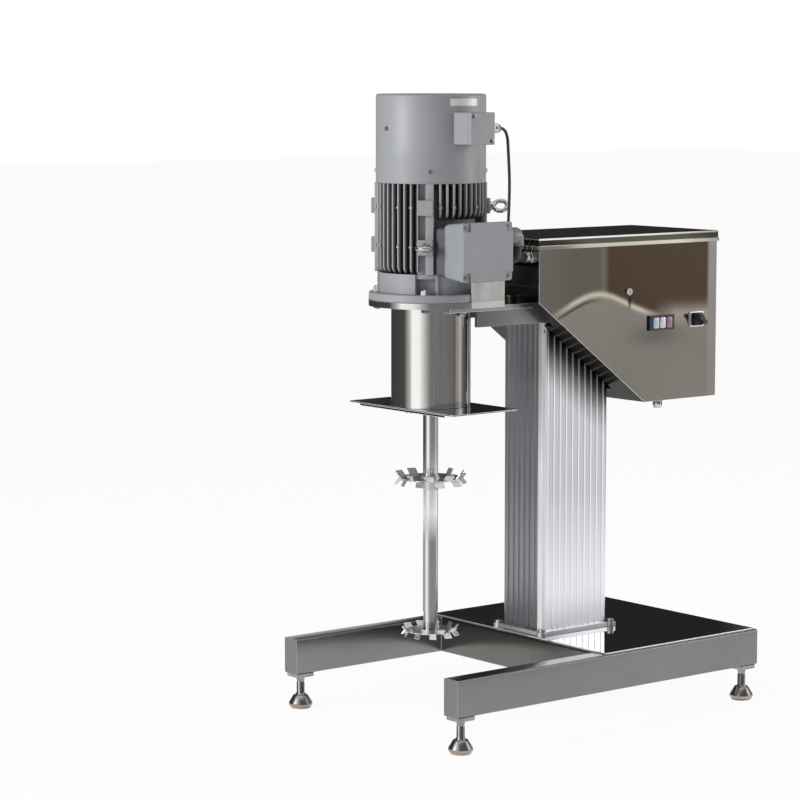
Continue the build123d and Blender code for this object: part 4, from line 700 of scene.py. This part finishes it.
def drumSector(fromAngle, toAngle, inner, outer, low, high, steps=14, look=0):
    # a block of ring between two angles
    angle = np.radians(np.linspace(fromAngle, toAngle, steps))
    out = np.stack([outer * np.cos(angle), outer * np.sin(angle)], -1)
    inn = np.stack([inner * np.cos(angle[::-1]), inner * np.sin(angle[::-1])], -1)
    return prism(np.concatenate([out, inn]) + np.array([0, motorY]), low, high, look=look)


for side in range(4):
    shieldShells.append(drumSector(side * 90 - 32, side * 90 + 32, 86, 105, 881, 921))
for diagonal in diagonals:
    rib = drumSector(diagonal - 13.5, diagonal - 10.5, 86, 110, 881, 921, 4)
    shieldShells += [rib, drumSector(diagonal + 11, diagonal + 14, 86, 108, 881, 921, 4)]
makePiece("endShield", shieldShells, [greyPaint], "head", ["motor_end_shield"], bevel=1.0)

finSet = {"root": 88, "tip": 112, "thick": 2.25, "pitch": 7.4, "count": 9, "low": 921, "top": 1100}
frameSet = {"core": 93, "low": 921, "top": 1100}


def finRow(centre, low, rise=14.0, keep=None):
    # straight fins side by side round one quarter; the foot of each curves in over its lowest stretch
    angles = np.radians(centre + (np.arange(finSet["count"]) - (finSet["count"] - 1) / 2) * finSet["pitch"])
    if keep is not None:
        angles = angles[keep]
    z = low + np.array([0, 0.18, 0.45, 0.75, 1.0]) * rise
    z = np.r_[z, finSet["top"] - 1.2, finSet["top"]]
    tip = finSet["tip"] - np.array([15, 8, 3.4, 0.9, 0, 0, 1.2])
    # the section in the fin's own plane: out along one cheek, over the rounded tip, back along the other
    t = finSet["thick"]
    cheeks = np.array([-1.25, -0.95, -0.5, 0.5, 0.95, 1.25]) * t
    back = np.array([np.nan, 1.3, 0, 0, 1.3, np.nan])
    radial = np.where(np.isnan(back)[None, :], finSet["root"], tip[:, None] - np.nan_to_num(back)[None, :])
    shells = []
    for angle in angles:
        c, s = np.cos(angle), np.sin(angle)
        x = radial * c - cheeks[None, :] * s
        y = radial * s + cheeks[None, :] * c + motorY
        shells.append(skin(np.stack([x, y, np.broadcast_to(z[:, None], x.shape)], -1)))
    return shells


frameShells = [turned([(84, 921), (93, 921), (93, 1100), (84, 1100)], (0, motorY), "z", 96, ring=True, look=1),
               turned(ringProfile(93, 26, 1088, 1100), (0, motorY), "z", 96, ring=True, look=1),
               turned(ringProfile(107, 26, 1100.2, 1109), (0, motorY), "z", 96, ring=True)]
for quarter in (90, 180, 270):
    frameShells += finRow(quarter, 921)
frameShells += finRow(0, 1029)


def onDiagonal(shell, angle, radius=0.0):
    points = shell[0].copy()
    points[:, 0] += radius
    return spun(points, angle) + np.array([0, motorY, 0]), shell[1], shell[2]


padSet = {"low": 975, "high": 1053, "size": (30, 30), "reach": 119}
for diagonal in diagonals:
    lip = prism(plateOutline(22, 3, 0.8, (101, -15.5)), 926, 1100)
    wide = prism(plateOutline(22, 16, 1.5, (101, 8.5)), 921, 1100)
    floorOfRecess = prism(plateOutline(16, 18, 0.5, (94, -7)), 921, 1100, look=2)
    shells = [lip, wide, floorOfRecess]
    for z in (padSet["low"], padSet["high"]):
        shells.append(prism(plateOutline(*padSet["size"], 2, (0, z)), 90, padSet["reach"], "x"))
    frameShells += [onDiagonal(shell, diagonal) for shell in shells]
    for side in (-1, 1):
        for step in (0, 1):
            for z in (padSet["low"], padSet["high"]):
                bump = turned([(3.4, 106), (3.4, 112.6), (2.4, 113.4)], (0, z), "x", 14)
                frameShells.append(onDiagonal(bump, diagonal + side * (15.4 + step * finSet["pitch"] * 2)))
saddle = prism(plateOutline(112, 96, 8, (-264.5, 966)), 84, 116, "x", look=1)
frameShells.append(saddle)
makePiece("finnedFrame", frameShells, [finPaint, shadowPaint, coverPaint], "head", ["motor_frame"], bevel=0.8)

boltShells = []
for diagonal in diagonals:
    x, y = 107.5 * np.cos(np.radians(diagonal)), motorY + 107.5 * np.sin(np.radians(diagonal))
    boltShells += [hexHead((x, y), 881, 10.5, 9, first=20), turned([(5.5, 889), (5.5, 892)], (x, y), "z", 24)]
for x, y, top, size in ((76, -336, 853, 9), (-76, -336, 853, 9), (76, -184, 843, 8), (-76, -184, 843, 8), (88, -247, 843, 6), (-88, -247, 843, 6)):
    boltShells += [hexHead((x, y), top - 7, size, 7, first=10), turned([(size * 0.5, top - 9), (size * 0.5, top - 6)], (x, y), "z", 24)]
for x in (-2, 11):
    boltShells.append(turned([(3, 638), (3, 647)], (x, -320), "z", 20))
makePiece("machineBolts", boltShells, [chromePlate], "head", ["machine_bolts"], bevel=0.3, angle=40)

cowlSet = {"radius": 110.5, "wall": 2.5, "low": 1100, "top": 1276, "slots": 24}
cowlProfile = [(108, 1100), (110.5, 1100), (110.5, 1271)] \
    + [(105.5 + 5 * np.cos(a), 1271 + 5 * np.sin(a)) for a in np.radians((18, 36, 54, 72, 90))] \
    + [(93.2, 1276), (93.2, 1273.4), (105, 1273), (108, 1270)]
cowlShells = [turned(cowlProfile, (0, motorY), "z", 144, ring=True),
              turned(ringProfile(58.8, 40, 1273.2, 1276), (0, motorY), "z", 96, ring=True),
              turned([(45, 1166), (45, 1273.5)], (0, motorY), "z", 64, look=1)]
slotStep = 360 / cowlSet["slots"]
for k in range(cowlSet["slots"]):
    cowlShells.append(drumSector(k * slotStep + slotStep / 2 - 4.6, k * slotStep + slotStep / 2 + 4.6, 57, 95, 1273.2, 1276, 4))
cowlShells.append(turned([(40.5, 1273.4), (40.5, 1276)], (0, motorY), "z", 64))
for heading, z, look in ((-92, 1208, 1), (-41.2, 1124, 2)):
    cowlShells.append(onDiagonal(turned([(4.6, 110), (4.6, 112), (3.8, 113), (1.8, 113.2)], (0, z), "x", 20, look=look), heading))
for heading in (-128.8, 51.2, 141.2, -38.8 + 180):
    cowlShells.append(onDiagonal(turned([(4.6, 110), (4.6, 112), (3.8, 113)], (0, 1124), "x", 20, look=2), heading))
makePiece("fanCowl", cowlShells, [greyPaint, shadowPaint, chromePlate], "head", ["fan_cowl", "fan_motor"],
          bevel=0.4, angle=40)

labelSet = {"heading": -1.7, "z": 1260, "size": (68, 14), "radius": 110.4}
across = np.linspace(-labelSet["size"][0] / 2, labelSet["size"][0] / 2, 17) / labelSet["radius"]
inner, outer = labelSet["radius"], labelSet["radius"] + 0.5
line = np.concatenate([np.stack([outer * np.cos(across), outer * np.sin(across)], -1),
                       np.stack([inner * np.cos(across[::-1]), inner * np.sin(across[::-1])], -1)])
labelShell = prism(line, labelSet["z"] - labelSet["size"][1] / 2, labelSet["z"] + labelSet["size"][1] / 2)
makePiece("blankPlate", [onDiagonal(labelShell, labelSet["heading"])], [labelBlank], "head", bevel=0)
print("motor made")


# ---- terminal boxes ----
terminalSet = {"back": 116, "lid": 171.5, "face": 184.5, "middle": (-264.5, 968.75), "size": (126.5, 115.5)}
bodyLoop = plateOutline(124.5, 113.5, 7, terminalSet["middle"], 8)
makePiece("terminalBody", [taperedPrism(bodyLoop, [(116, 0.90), (124, 0.94), (150, 0.985), (171.5, 1.0)], "x")], [coverPaint],
          "head", ["terminal_box"], bevel=1.2)
w, h, pad = 126.5 / 2, 115.5 / 2, 17.0
cross = np.array([(-w + pad, -h), (w - pad, -h), (w - pad, -h + pad), (w, -h + pad), (w, h - pad), (w - pad, h - pad),
                  (w - pad, h), (-w + pad, h), (-w + pad, h - pad), (-w, h - pad), (-w, -h + pad), (-w + pad, -h + pad)])
lidShells = [prism(plateOutline(126.5, 115.5, 5, terminalSet["middle"]), 171.5, 181.3, "x"),
             prism(cross + np.array(terminalSet["middle"]), 180, 184.5, "x")]
for a in (-1, 1):
    for b in (-1, 1):
        at = (terminalSet["middle"][0] + a * (w - pad / 2), terminalSet["middle"][1] + b * (h - pad / 2))
        lidShells.append(turned([(4.6, 181), (4.6, 183.2), (4.0, 183.8), (1.4, 183.8), (1.4, 182.6)], at, "x", 24, look=1))
makePiece("terminalLid", lidShells, [coverPaint, footSteel], "head", ["terminal_cover"], bevel=0.9)

fanBoxSet = {"middle": (-258.5, 1208.75), "size": (61, 63.5), "face": 159.5}
fanLoop = plateOutline(61, 63.5, 3, fanBoxSet["middle"])
fanShells = [prism(fanLoop, 106, 149, "x"), taperedPrism(fanLoop, [(149.6, 1.0), (158.3, 1.0), (159.5, 0.97)], "x"),
             prism(plateOutline(59, 61.5, 2, fanBoxSet["middle"]), 149, 149.6, "x", look=2)]
for a, b in ((-1, 1), (1, -1)):
    at = (fanBoxSet["middle"][0] + a * 23, fanBoxSet["middle"][1] + b * 24.5)
    fanShells.append(turned([(5.2, 159.2), (5.2, 160.2), (4.4, 160.5)], at, "x", 24, look=1))
    fanShells.append(turned([(2.2, 160.2), (2.2, 160.6)], at, "x", 12, look=2))
makePiece("fanTerminal", fanShells, [greyPaint, footSteel, shadowPaint], "head", ["fan_terminal_box"], bevel=0.8)

glandSet = {"fan": (140, -228, 1209), "lead": (140, -202.25, 960), "hub": (166, -202.25, 997), "fitting": (107, -84.5, 948)}


def alongY(profile, at, start, parts=32, look=0, sides=None):
    # a turned profile that grows towards +Y from start; radius and distance pairs
    profile = [(r, start + d) for r, d in profile]
    return turned(profile, (-at[0], at[2]), "y", parts, look=look)


x, y, z = glandSet["fan"]
glandShells = [alongY([(8.5, 0), (8.5, 2)], glandSet["fan"], y), alongY([(12, 2), (12, 10), (11, 11)], glandSet["fan"], y, 6),
               alongY([(9.5, 11), (10, 12), (9.6, 20), (8.0, 26), (5.0, 29), (3.2, 29)], glandSet["fan"], y)]
x, y, z = glandSet["lead"]
glandShells += [alongY([(9, 0), (9, 4), (7.5, 6), (4.5, 7)], glandSet["lead"], y)]
x, y, z = glandSet["hub"]
hubShells = [alongY([(13, 0.6), (16, 1), (16.7, 6), (16.7, 24), (15, 29), (11, 31)], glandSet["hub"], y, 40, look=1),
             turned([(10.5, 977), (12.5, 977.5), (12.8, 984), (12.8, 997)], (x, y + 28), "z", 32, look=1)]
x, y, z = glandSet["fitting"]
fittingShells = [turned([(13, 84.5), (13, 90), (12.2, 91.5)], (x, z), "-y", 6),
                 turned([(10.6, 91.5), (11.2, 93), (11.2, 97), (10.2, 97.6), (10.2, 99), (11.2, 99.6), (11.2, 103.6), (10, 104.5)], (x, z), "-y", 32)]
makePiece("cableGlands", glandShells + hubShells + fittingShells, [chromePlate, hubPlastic], "head", ["cable_glands"],
          bevel=0.3, angle=40)

brassSet = {"at": (50, -95), "low": 853, "height": 14}
makePiece("brassNipple", [turned([(5.6, 853), (5.6, 858), (4.2, 859), (4.2, 862), (5.4, 863), (5.4, 866), (4.4, 867)], brassSet["at"], "z", 24)],
          [brassLook], "head", bevel=0, angle=35)


# ---- lifting eyes ----
eyeSet = {"radius": 13.5, "wire": 4.5, "centre": 140}


def eyeRing(angle, z, tilt):
    # a torus round its own middle, tilted about the line from the motor, with a turned foot
    big, small = turn(48)[:, None], turn(16)[None, :]
    r = eyeSet["radius"] + eyeSet["wire"] * np.cos(small)
    flatX, flatY, flatZ = r * np.cos(big), r * np.sin(big), eyeSet["wire"] * np.sin(small) + 0 * big
    c, s = np.cos(np.radians(tilt)), np.sin(np.radians(tilt))
    points = np.stack([eyeSet["centre"] + flatX, c * flatY - s * flatZ, z + s * flatY + c * flatZ], -1)
    ring = skin(points, closedU=True)
    foot = turned([(9, 119), (9.5, 120), (9.2, 122), (6.6, 124), (5.6, 127), (5.2, 129)], (0, z), "x", 28)
    return [onDiagonal(ring, angle), onDiagonal(foot, angle)]


makePiece("liftingEyes", eyeRing(-45, 975, 0) + eyeRing(45, 1053, 45), [chromePlate], "head", ["lifting_eyes"],
          bevel=0, angle=50)
print("motor fittings made")


# ---- control box ----
boxSet = {"half": 131, "front": -84.5, "rear": 418.5, "bottom": 633, "top": 983, "slantTop": 855, "slantEnd": 211.5}
sideLoop = np.array([(-84.5, 855), (211.5, 633), (418.5, 633), (418.5, 983), (-84.5, 983)])


def makePanelLook():
    # polished sheet whose tones are a painted reflection: grey left field, brown right field, and a paler lower field
    # whose upper edge is a light wave
    look = makeLook("panelNear", (0.36, 0.335, 0.30), (0.30, 0.28, 0.25), (0.06, 0.12), cloudScale=5.0)
    tree, (x, y, z) = axesOf(look)
    wave = mathIn(tree, "ADD", mathIn(tree, "MULTIPLY", bell(tree, y, 0.075, 0.115), 0.056), 0.806)
    rise = mathIn(tree, "SUBTRACT", z, wave)
    above = ramp(tree, rise, -0.006, 0.010)
    beyond = ramp(tree, y, 0.088, 0.108)
    # painted reflection: the fields, a painted glow and a light crest along the wave, a dark line under it, a pale rear
    # strip and a darker patch low down
    paintOver(look, above, (0.205, 0.19, 0.168))
    paintOver(look, product(tree, above, ramp(tree, y, -0.06, 0.02), 0.5), (0.15, 0.135, 0.11))
    paintOver(look, product(tree, above, beyond), (0.108, 0.076, 0.052))
    paintOver(look, product(tree, above, bell(tree, y, 0.093, 0.009), 0.5), (0.28, 0.26, 0.21))
    paintOver(look, product(tree, bell(tree, rise, 0.004, 0.020), ramp(tree, y, 0.235, 0.30)), (0.46, 0.41, 0.355))
    crest = product(tree, bell(tree, rise, 0.003, 0.0062), ramp(tree, y, -0.055, 0.01), ramp(tree, y, 0.26, 0.20))
    paintOver(look, crest, (0.80, 0.73, 0.60))
    paintOver(look, product(tree, bell(tree, rise, -0.0085, 0.0035), ramp(tree, y, 0.10, 0.04), ramp(tree, y, -0.05, -0.02)),
              (0.12, 0.11, 0.095))
    paintOver(look, ramp(tree, y, 0.389, 0.397), (0.40, 0.36, 0.345))
    paintOver(look, product(tree, bell(tree, z, 0.774, 0.022), bell(tree, y, 0.24, 0.07), 0.7), (0.16, 0.15, 0.14))
    # painted shadow: a small dark mark below the lid lock
    paintOver(look, product(tree, bell(tree, y, 0.166, 0.0045), bell(tree, z, 0.846, 0.012)), (0.02, 0.019, 0.018))
    # sheet is never quite flat: slow waves in the normal
    slow = tree.nodes.new("ShaderNodeTexNoise")
    slow.inputs["Scale"].default_value = 5.0
    slow.inputs["Detail"].default_value = 1.0
    tree.links.new(tree.nodes.new("ShaderNodeTexCoord").outputs["Object"], slow.inputs["Vector"])
    relief = tree.nodes.new("ShaderNodeBump")
    relief.inputs["Strength"].default_value = 0.4
    relief.inputs["Distance"].default_value = 0.002
    tree.links.new(slow.outputs[0], relief.inputs["Height"])
    tree.links.new(relief.outputs[0], tree.nodes["Principled BSDF"].inputs["Normal"])
    return look


panelNear = makePanelLook()
makePiece("boxSides", [prism(sideLoop, 129, 131, "x", look=0), prism(sideLoop, -131, -129, "x", look=1)], [panelNear, panelFar],
          "head", ["box_side_panels"], bevel=0.6, segments=2, edgeHighlightLook=edgeSteel)
makePiece("boxFront", [prism(plateOutline(258, 130, 0.5, (0, 918)), 82.5, 84.5, "-y")], [frontMirror], "head", ["box_front_panel"],
          bevel=0.4)
makePiece("boxRear", [prism(plateOutline(258, 350, 0.5, (0, 808)), -418.5, -416.5, "-y")], [panelFar], "head", ["box_rear_panel"],
          bevel=0.4)

lidSet = {"half": 135, "front": -89.5, "rear": 422, "top": 985.5, "rim": 22.5, "hem": 7.0, "crown": 2.5}


def lidSkin():
    # the lid from its hem up the skirt and over the crowned top, then back down inside
    loopAt = plateOutline(270, 511.5, 2.0, (0, 166.25), 5)
    middle = np.array([0, 166.25])
    stations = [(1.0, 963.0), (1.0, 970.0), (0.9925, 971.0), (0.9925, 981.5), (0.9965, 984.2), (0.985, 985.5)]
    rows = [onAxis("z", *(middle + (loopAt - middle) * k).T, np.full(len(loopAt), z)) for k, z in stations]
    for k in np.linspace(0.9, 0.1, 9):
        rows.append(onAxis("z", *(middle + (loopAt - middle) * k).T, np.full(len(loopAt), 985.5 + lidSet["crown"] * (1 - k * k))))
    return skin(np.stack(rows), capped=True)


outerLid = lidSkin()
outerLid = (outerLid[0], [face for face in outerLid[1] if len(face) == 4 or min(face) > 100], 0)
innerLoop = plateOutline(266, 507.5, 1.0, (0, 166.25), 5)
outerLoop = plateOutline(270, 511.5, 2.0, (0, 166.25), 5)
hemRing = np.stack([onAxis("z", *innerLoop.T, np.full(20, 963.0)), onAxis("z", *outerLoop.T, np.full(20, 963.0))])
innerRows = np.stack([onAxis("z", *innerLoop.T, np.full(20, z)) for z in (983.5, 963.0)])
hemShell = skin(hemRing, capped=False)
innerShell = skin(innerRows, capped=True)
innerShell = (innerShell[0], innerShell[1][:-1], 1)
lidShells = [(outerLid[0], outerLid[1], 0), (hemShell[0], hemShell[1], 1), innerShell]
hingeSet = {"axis": (-138, 959), "at": (20, 312), "knuckle": 18}
for y in hingeSet["at"]:
    lidShells += [turned([(3, -y - 9), (3, -y + 9)], hingeSet["axis"], "-y", 20, look=1),
                  prism(plateOutline(3, 16, 0.4, (-136.5, 967)), -y - 9, -y + 9, "-y", look=1)]
makePiece("boxLid", lidShells, [lidMirror, rimSteel], "lid", ["box_lid"], bevel=0.3)
print("control box made")


# ---- switches ----
bezelSet = {"face": 136, "button": (255, 798), "knob": (358, 800)}


def framedPlate(width, height, holes, low, high, at, look=0):
    # a flat block with square wells, built as strips between the wells
    y0, z0 = at
    shells = []
    edges = [-width / 2] + [e for hole in holes for e in (hole - 7.8, hole + 7.8)] + [width / 2]
    for a, b in zip(edges[::2], edges[1::2]):
        shells.append(prism(plateOutline(b - a, 23.6, 0.1, (y0 + (a + b) / 2, z0), 2), low, high, "x", look))
    for side in (-1, 1):
        rise = (height - 23.6) / 2
        shells.append(prism(plateOutline(width, rise, 0.1, (y0, z0 + side * (23.6 + rise) / 2), 2), low, high, "x", look))
    return shells


bezelShells = framedPlate(71, 31, (-19, 0, 19), 131, 136, bezelSet["button"])
bezelShells.append(prism(plateOutline(63, 27, 1, bezelSet["button"]), 99, 117, "x"))
bezelShells += [prism(plateOutline(38, 32, 2, bezelSet["knob"]), 131, 134.5, "x", look=1),
                prism(plateOutline(33, 27, 2, bezelSet["knob"]), 134.4, 136, "x")]
makePiece("switchFrames", bezelShells, [blackPlastic, edgeSteel], "head", ["switch_bezels"], bevel=0.5)
for name, step, look, slotName in (("run_button", -19, bluePlastic, "blue_plastic"), ("set_button", 0, palePlastic, "white_plastic"),
                                   ("stop_button", 19, mauvePlastic, "mauve_plastic")):
    cap = plateOutline(15, 23, 2.5, (255 + step, 798))
    makePiece("press_" + name, [taperedPrism(cap, [(121, 1), (138.2, 1), (139.2, 0.95), (139.5, 0.88)], "x")], [look], name, [name],
              bevel=0)
knobGrip = plateOutline(28, 9, 3)
angle = np.radians(-35)
knobGrip = knobGrip @ np.array([[np.cos(angle), np.sin(angle)], [-np.sin(angle), np.cos(angle)]]) + np.array([358, 800])
makePiece("selectorKnob", [turned([(5, 121), (5, 136.3), (14, 136.4), (14, 139), (13.2, 146)], (358, 800), "x", 48),
                           taperedPrism(knobGrip, [(140, 1), (154, 0.96), (156.3, 0.86)], "x")], [blackPlastic], "knob",
          ["selector_knob"], bevel=0.5)
makePiece("lidLock", [turned([(5, 120), (5, 131.3), (8, 131.4), (8, 134), (7.2, 135.3), (4, 135.3)], (163, 867), "x", 32),
                      prism(plateOutline(14, 36, 3, (163, 878)), 120, 123, "x"),
                      prism(plateOutline(1.6, 10, 0.4, (163, 867)), 135.2, 135.4, "x", look=1)],
          [chromePlate, blackPlastic], "lock", ["lid_lock"], bevel=0.3)
x, y = 95, 283
makePiece("powerGland", [turned([(5.5, 613), (8.4, 613), (10, 616), (10, 624), (9.6, 626), (5.5, 626)], (x, y), "z", 32, ring=True),
                         turned([(5.5, 626), (8, 626), (8, 641), (5.5, 641)], (x, y), "z", 32, ring=True),
                         hexHead((x, y), 626, 11.5, 7), hexHead((x, y), 635, 12, 5)], [chromePlate], "head", ["power_gland"],
          bevel=0.4)
print("switches made")

# ---- CAD nodes that show as they are ----
plainLooks = {
    "upper_guide_pads": padTan, "lower_guide_pads": padTan, "lift_gearmotor": boxGrey, "lead_screw": shaftSteel,
    "column_inner_profile": columnAluminium, "lift_nut": ironLook, "column_head_plate": insideZinc, "shaft_bearings": shaftSteel,
    "motor_stator": ironLook, "motor_rotor": shaftSteel, "shaft_coupling": shaftSteel, "spindle_shaft": shaftSteel,
    "upper_disc": discSteel, "lower_disc": discSteel, "disc_hubs": discSteel, "cooling_fan": blackPlastic,
    "box_floor_panel": floorMirror, "lid_hinges": rimSteel, "speed_inverter": boxGrey, "terminal_rail": boxGrey,
}
for node, look in plainLooks.items():
    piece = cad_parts[node]
    piece.data.materials.clear()
    piece.data.materials.append(look)


# ---- floor, backdrop and light ----
def seenDirectly(tree):
    # 1 for what the camera, a mirror or glass sees, 0 for soft light
    path = tree.nodes.new("ShaderNodeLightPath")
    seen = mathIn(tree, "MAXIMUM", path.outputs["Is Camera Ray"], path.outputs["Is Glossy Ray"])
    return mathIn(tree, "MAXIMUM", seen, path.outputs["Is Transmission Ray"])


def whiteStage(name, tone, glow):
    # a matte floor that takes shadows; to the eye and in polished metal a share of it is plain white
    look = bpy.data.materials.new(name)
    look.use_nodes = True
    tree = look.node_tree
    shader = tree.nodes["Principled BSDF"]
    shader.inputs["Base Color"].default_value = (tone, tone, tone, 1)
    shader.inputs["Roughness"].default_value = 0.9
    shader.inputs["Specular IOR Level"].default_value = 0.0
    white = tree.nodes.new("ShaderNodeEmission")
    mix = tree.nodes.new("ShaderNodeMixShader")
    tree.links.new(mathIn(tree, "MULTIPLY", seenDirectly(tree), glow), mix.inputs[0])
    tree.links.new(shader.outputs[0], mix.inputs[1])
    tree.links.new(white.outputs[0], mix.inputs[2])
    tree.links.new(mix.outputs[0], tree.nodes["Material Output"].inputs["Surface"])
    return look


floorMesh = bpy.data.meshes.new("floor")
floorMesh.from_pydata([(-30, -30, -0.0004), (30, -30, -0.0004), (30, 30, -0.0004), (-30, 30, -0.0004)], [], [(0, 1, 2, 3)])
floor = bpy.data.objects.new("floor", floorMesh)
floorLook = whiteStage("floorWhite", 0.9, 0.94)
floorMesh.materials.append(floorLook)
bpy.context.scene.collection.objects.link(floor)

world = bpy.data.worlds.new("studio")
bpy.context.scene.world = world
world.use_nodes = True
tree = world.node_tree
background = tree.nodes["Background"]
level = tree.nodes.new("ShaderNodeMapRange")
level.inputs["To Min"].default_value = 0.38
level.inputs["To Max"].default_value = 1.0
tree.links.new(seenDirectly(tree), level.inputs["Value"])
tree.links.new(level.outputs[0], background.inputs["Strength"])
background.inputs["Color"].default_value = (1, 1, 1, 1)


def softLamp(name, at, target, size, watts):
    lampData = bpy.data.lights.new(name, "AREA")
    lampData.shape = "RECTANGLE"
    lampData.size, lampData.size_y = size
    lampData.energy = watts
    lamp = bpy.data.objects.new(name, lampData)
    bpy.context.scene.collection.objects.link(lamp)
    lamp.location = at
    direction = np.array(target, float) - np.array(at, float)
    lamp.rotation_euler = (np.arctan2(np.hypot(*direction[:2]), -direction[2]), 0, np.arctan2(direction[1], direction[0]) - np.pi / 2)
    return lamp


softLamp("keyLamp", (-0.78, -4.43, 1.9), (0, 0, 0.7), (1.4, 2.2), 150)
softLamp("fillLamp", (2.6, 3.7, 1.8), (0, 0, 0.7), (1.6, 2.2), 115)


# a tall ring of grey tones that only polished metal sees: dark beside the camera's left, white in front
surroundSet = {
    "radius": 3.4, "low": 0.0, "high": 3.6,
    "tones": [(-180, 0.045), (-150, 0.055), (-118, 0.06), (-101, 0.42), (-93, 1.0), (-74, 1.0), (-57, 0.46), (-44, 0.18), (20, 0.15),
              (32, 0.2), (36, 0.62), (52, 0.62), (58, 0.25), (66, 0.09), (86, 0.09), (100, 0.45), (122, 0.4), (127, 0.02),
              (145.0, 0.02), (147.0, 0.9), (158, 0.9), (166, 0.05)],
}
ringMesh = bpy.data.meshes.new("surroundings")
points, polys, _ = skin(onAxis("z", 3.4 * np.cos(turn(180))[None, :], 3.4 * np.sin(turn(180))[None, :],
                               np.array([[surroundSet["low"]], [surroundSet["high"]]])), capped=False)
ringMesh.from_pydata(points.tolist(), [], polys)
surroundings = bpy.data.objects.new("surroundings", ringMesh)
look = bpy.data.materials.new("surroundTones")
look.use_nodes = True
tree, (x, y, z) = axesOf(look)
heading = mathIn(tree, "DIVIDE", mathIn(tree, "ARCTAN2", y, x), 2 * np.pi)
tones = tree.nodes.new("ShaderNodeValToRGB")
tree.links.new(mathIn(tree, "ADD", heading, 0.5), tones.inputs[0])
stops = tones.color_ramp.elements
while len(stops) < len(surroundSet["tones"]):
    stops.new(0.5)
for stop, (degrees, tone) in zip(stops, surroundSet["tones"]):
    stop.position = degrees / 360 + 0.5
    stop.color = (tone, tone * 0.99, tone * 0.97, 1)
shader = tree.nodes["Principled BSDF"]
shader.inputs["Base Color"].default_value = (0, 0, 0, 1)
shader.inputs["Specular IOR Level"].default_value = 0.0
shader.inputs["Emission Strength"].default_value = 1.0
# behind the frame the ring is white low down, where the far leg mirrors it, and dark above
high = product(tree, ramp(tree, z, 0.90, 0.98), ramp(tree, heading, 143 / 360, 146 / 360), ramp(tree, heading, 168 / 360, 162 / 360))
shade = tree.nodes.new("ShaderNodeMix")
shade.data_type = "RGBA"
shade.inputs[7].default_value = (0.02, 0.02, 0.02, 1)
tree.links.new(high, shade.inputs[0])
tree.links.new(tones.outputs[0], shade.inputs[6])
tree.links.new(shade.outputs[2], shader.inputs["Emission Color"])
ringMesh.materials.append(look)
bpy.context.scene.collection.objects.link(surroundings)
for ray in ("camera", "diffuse", "transmission", "shadow"):
    setattr(surroundings, "visible_" + ray, False)

scene = bpy.context.scene
scene.view_settings.view_transform = "Standard"
print("stage made")
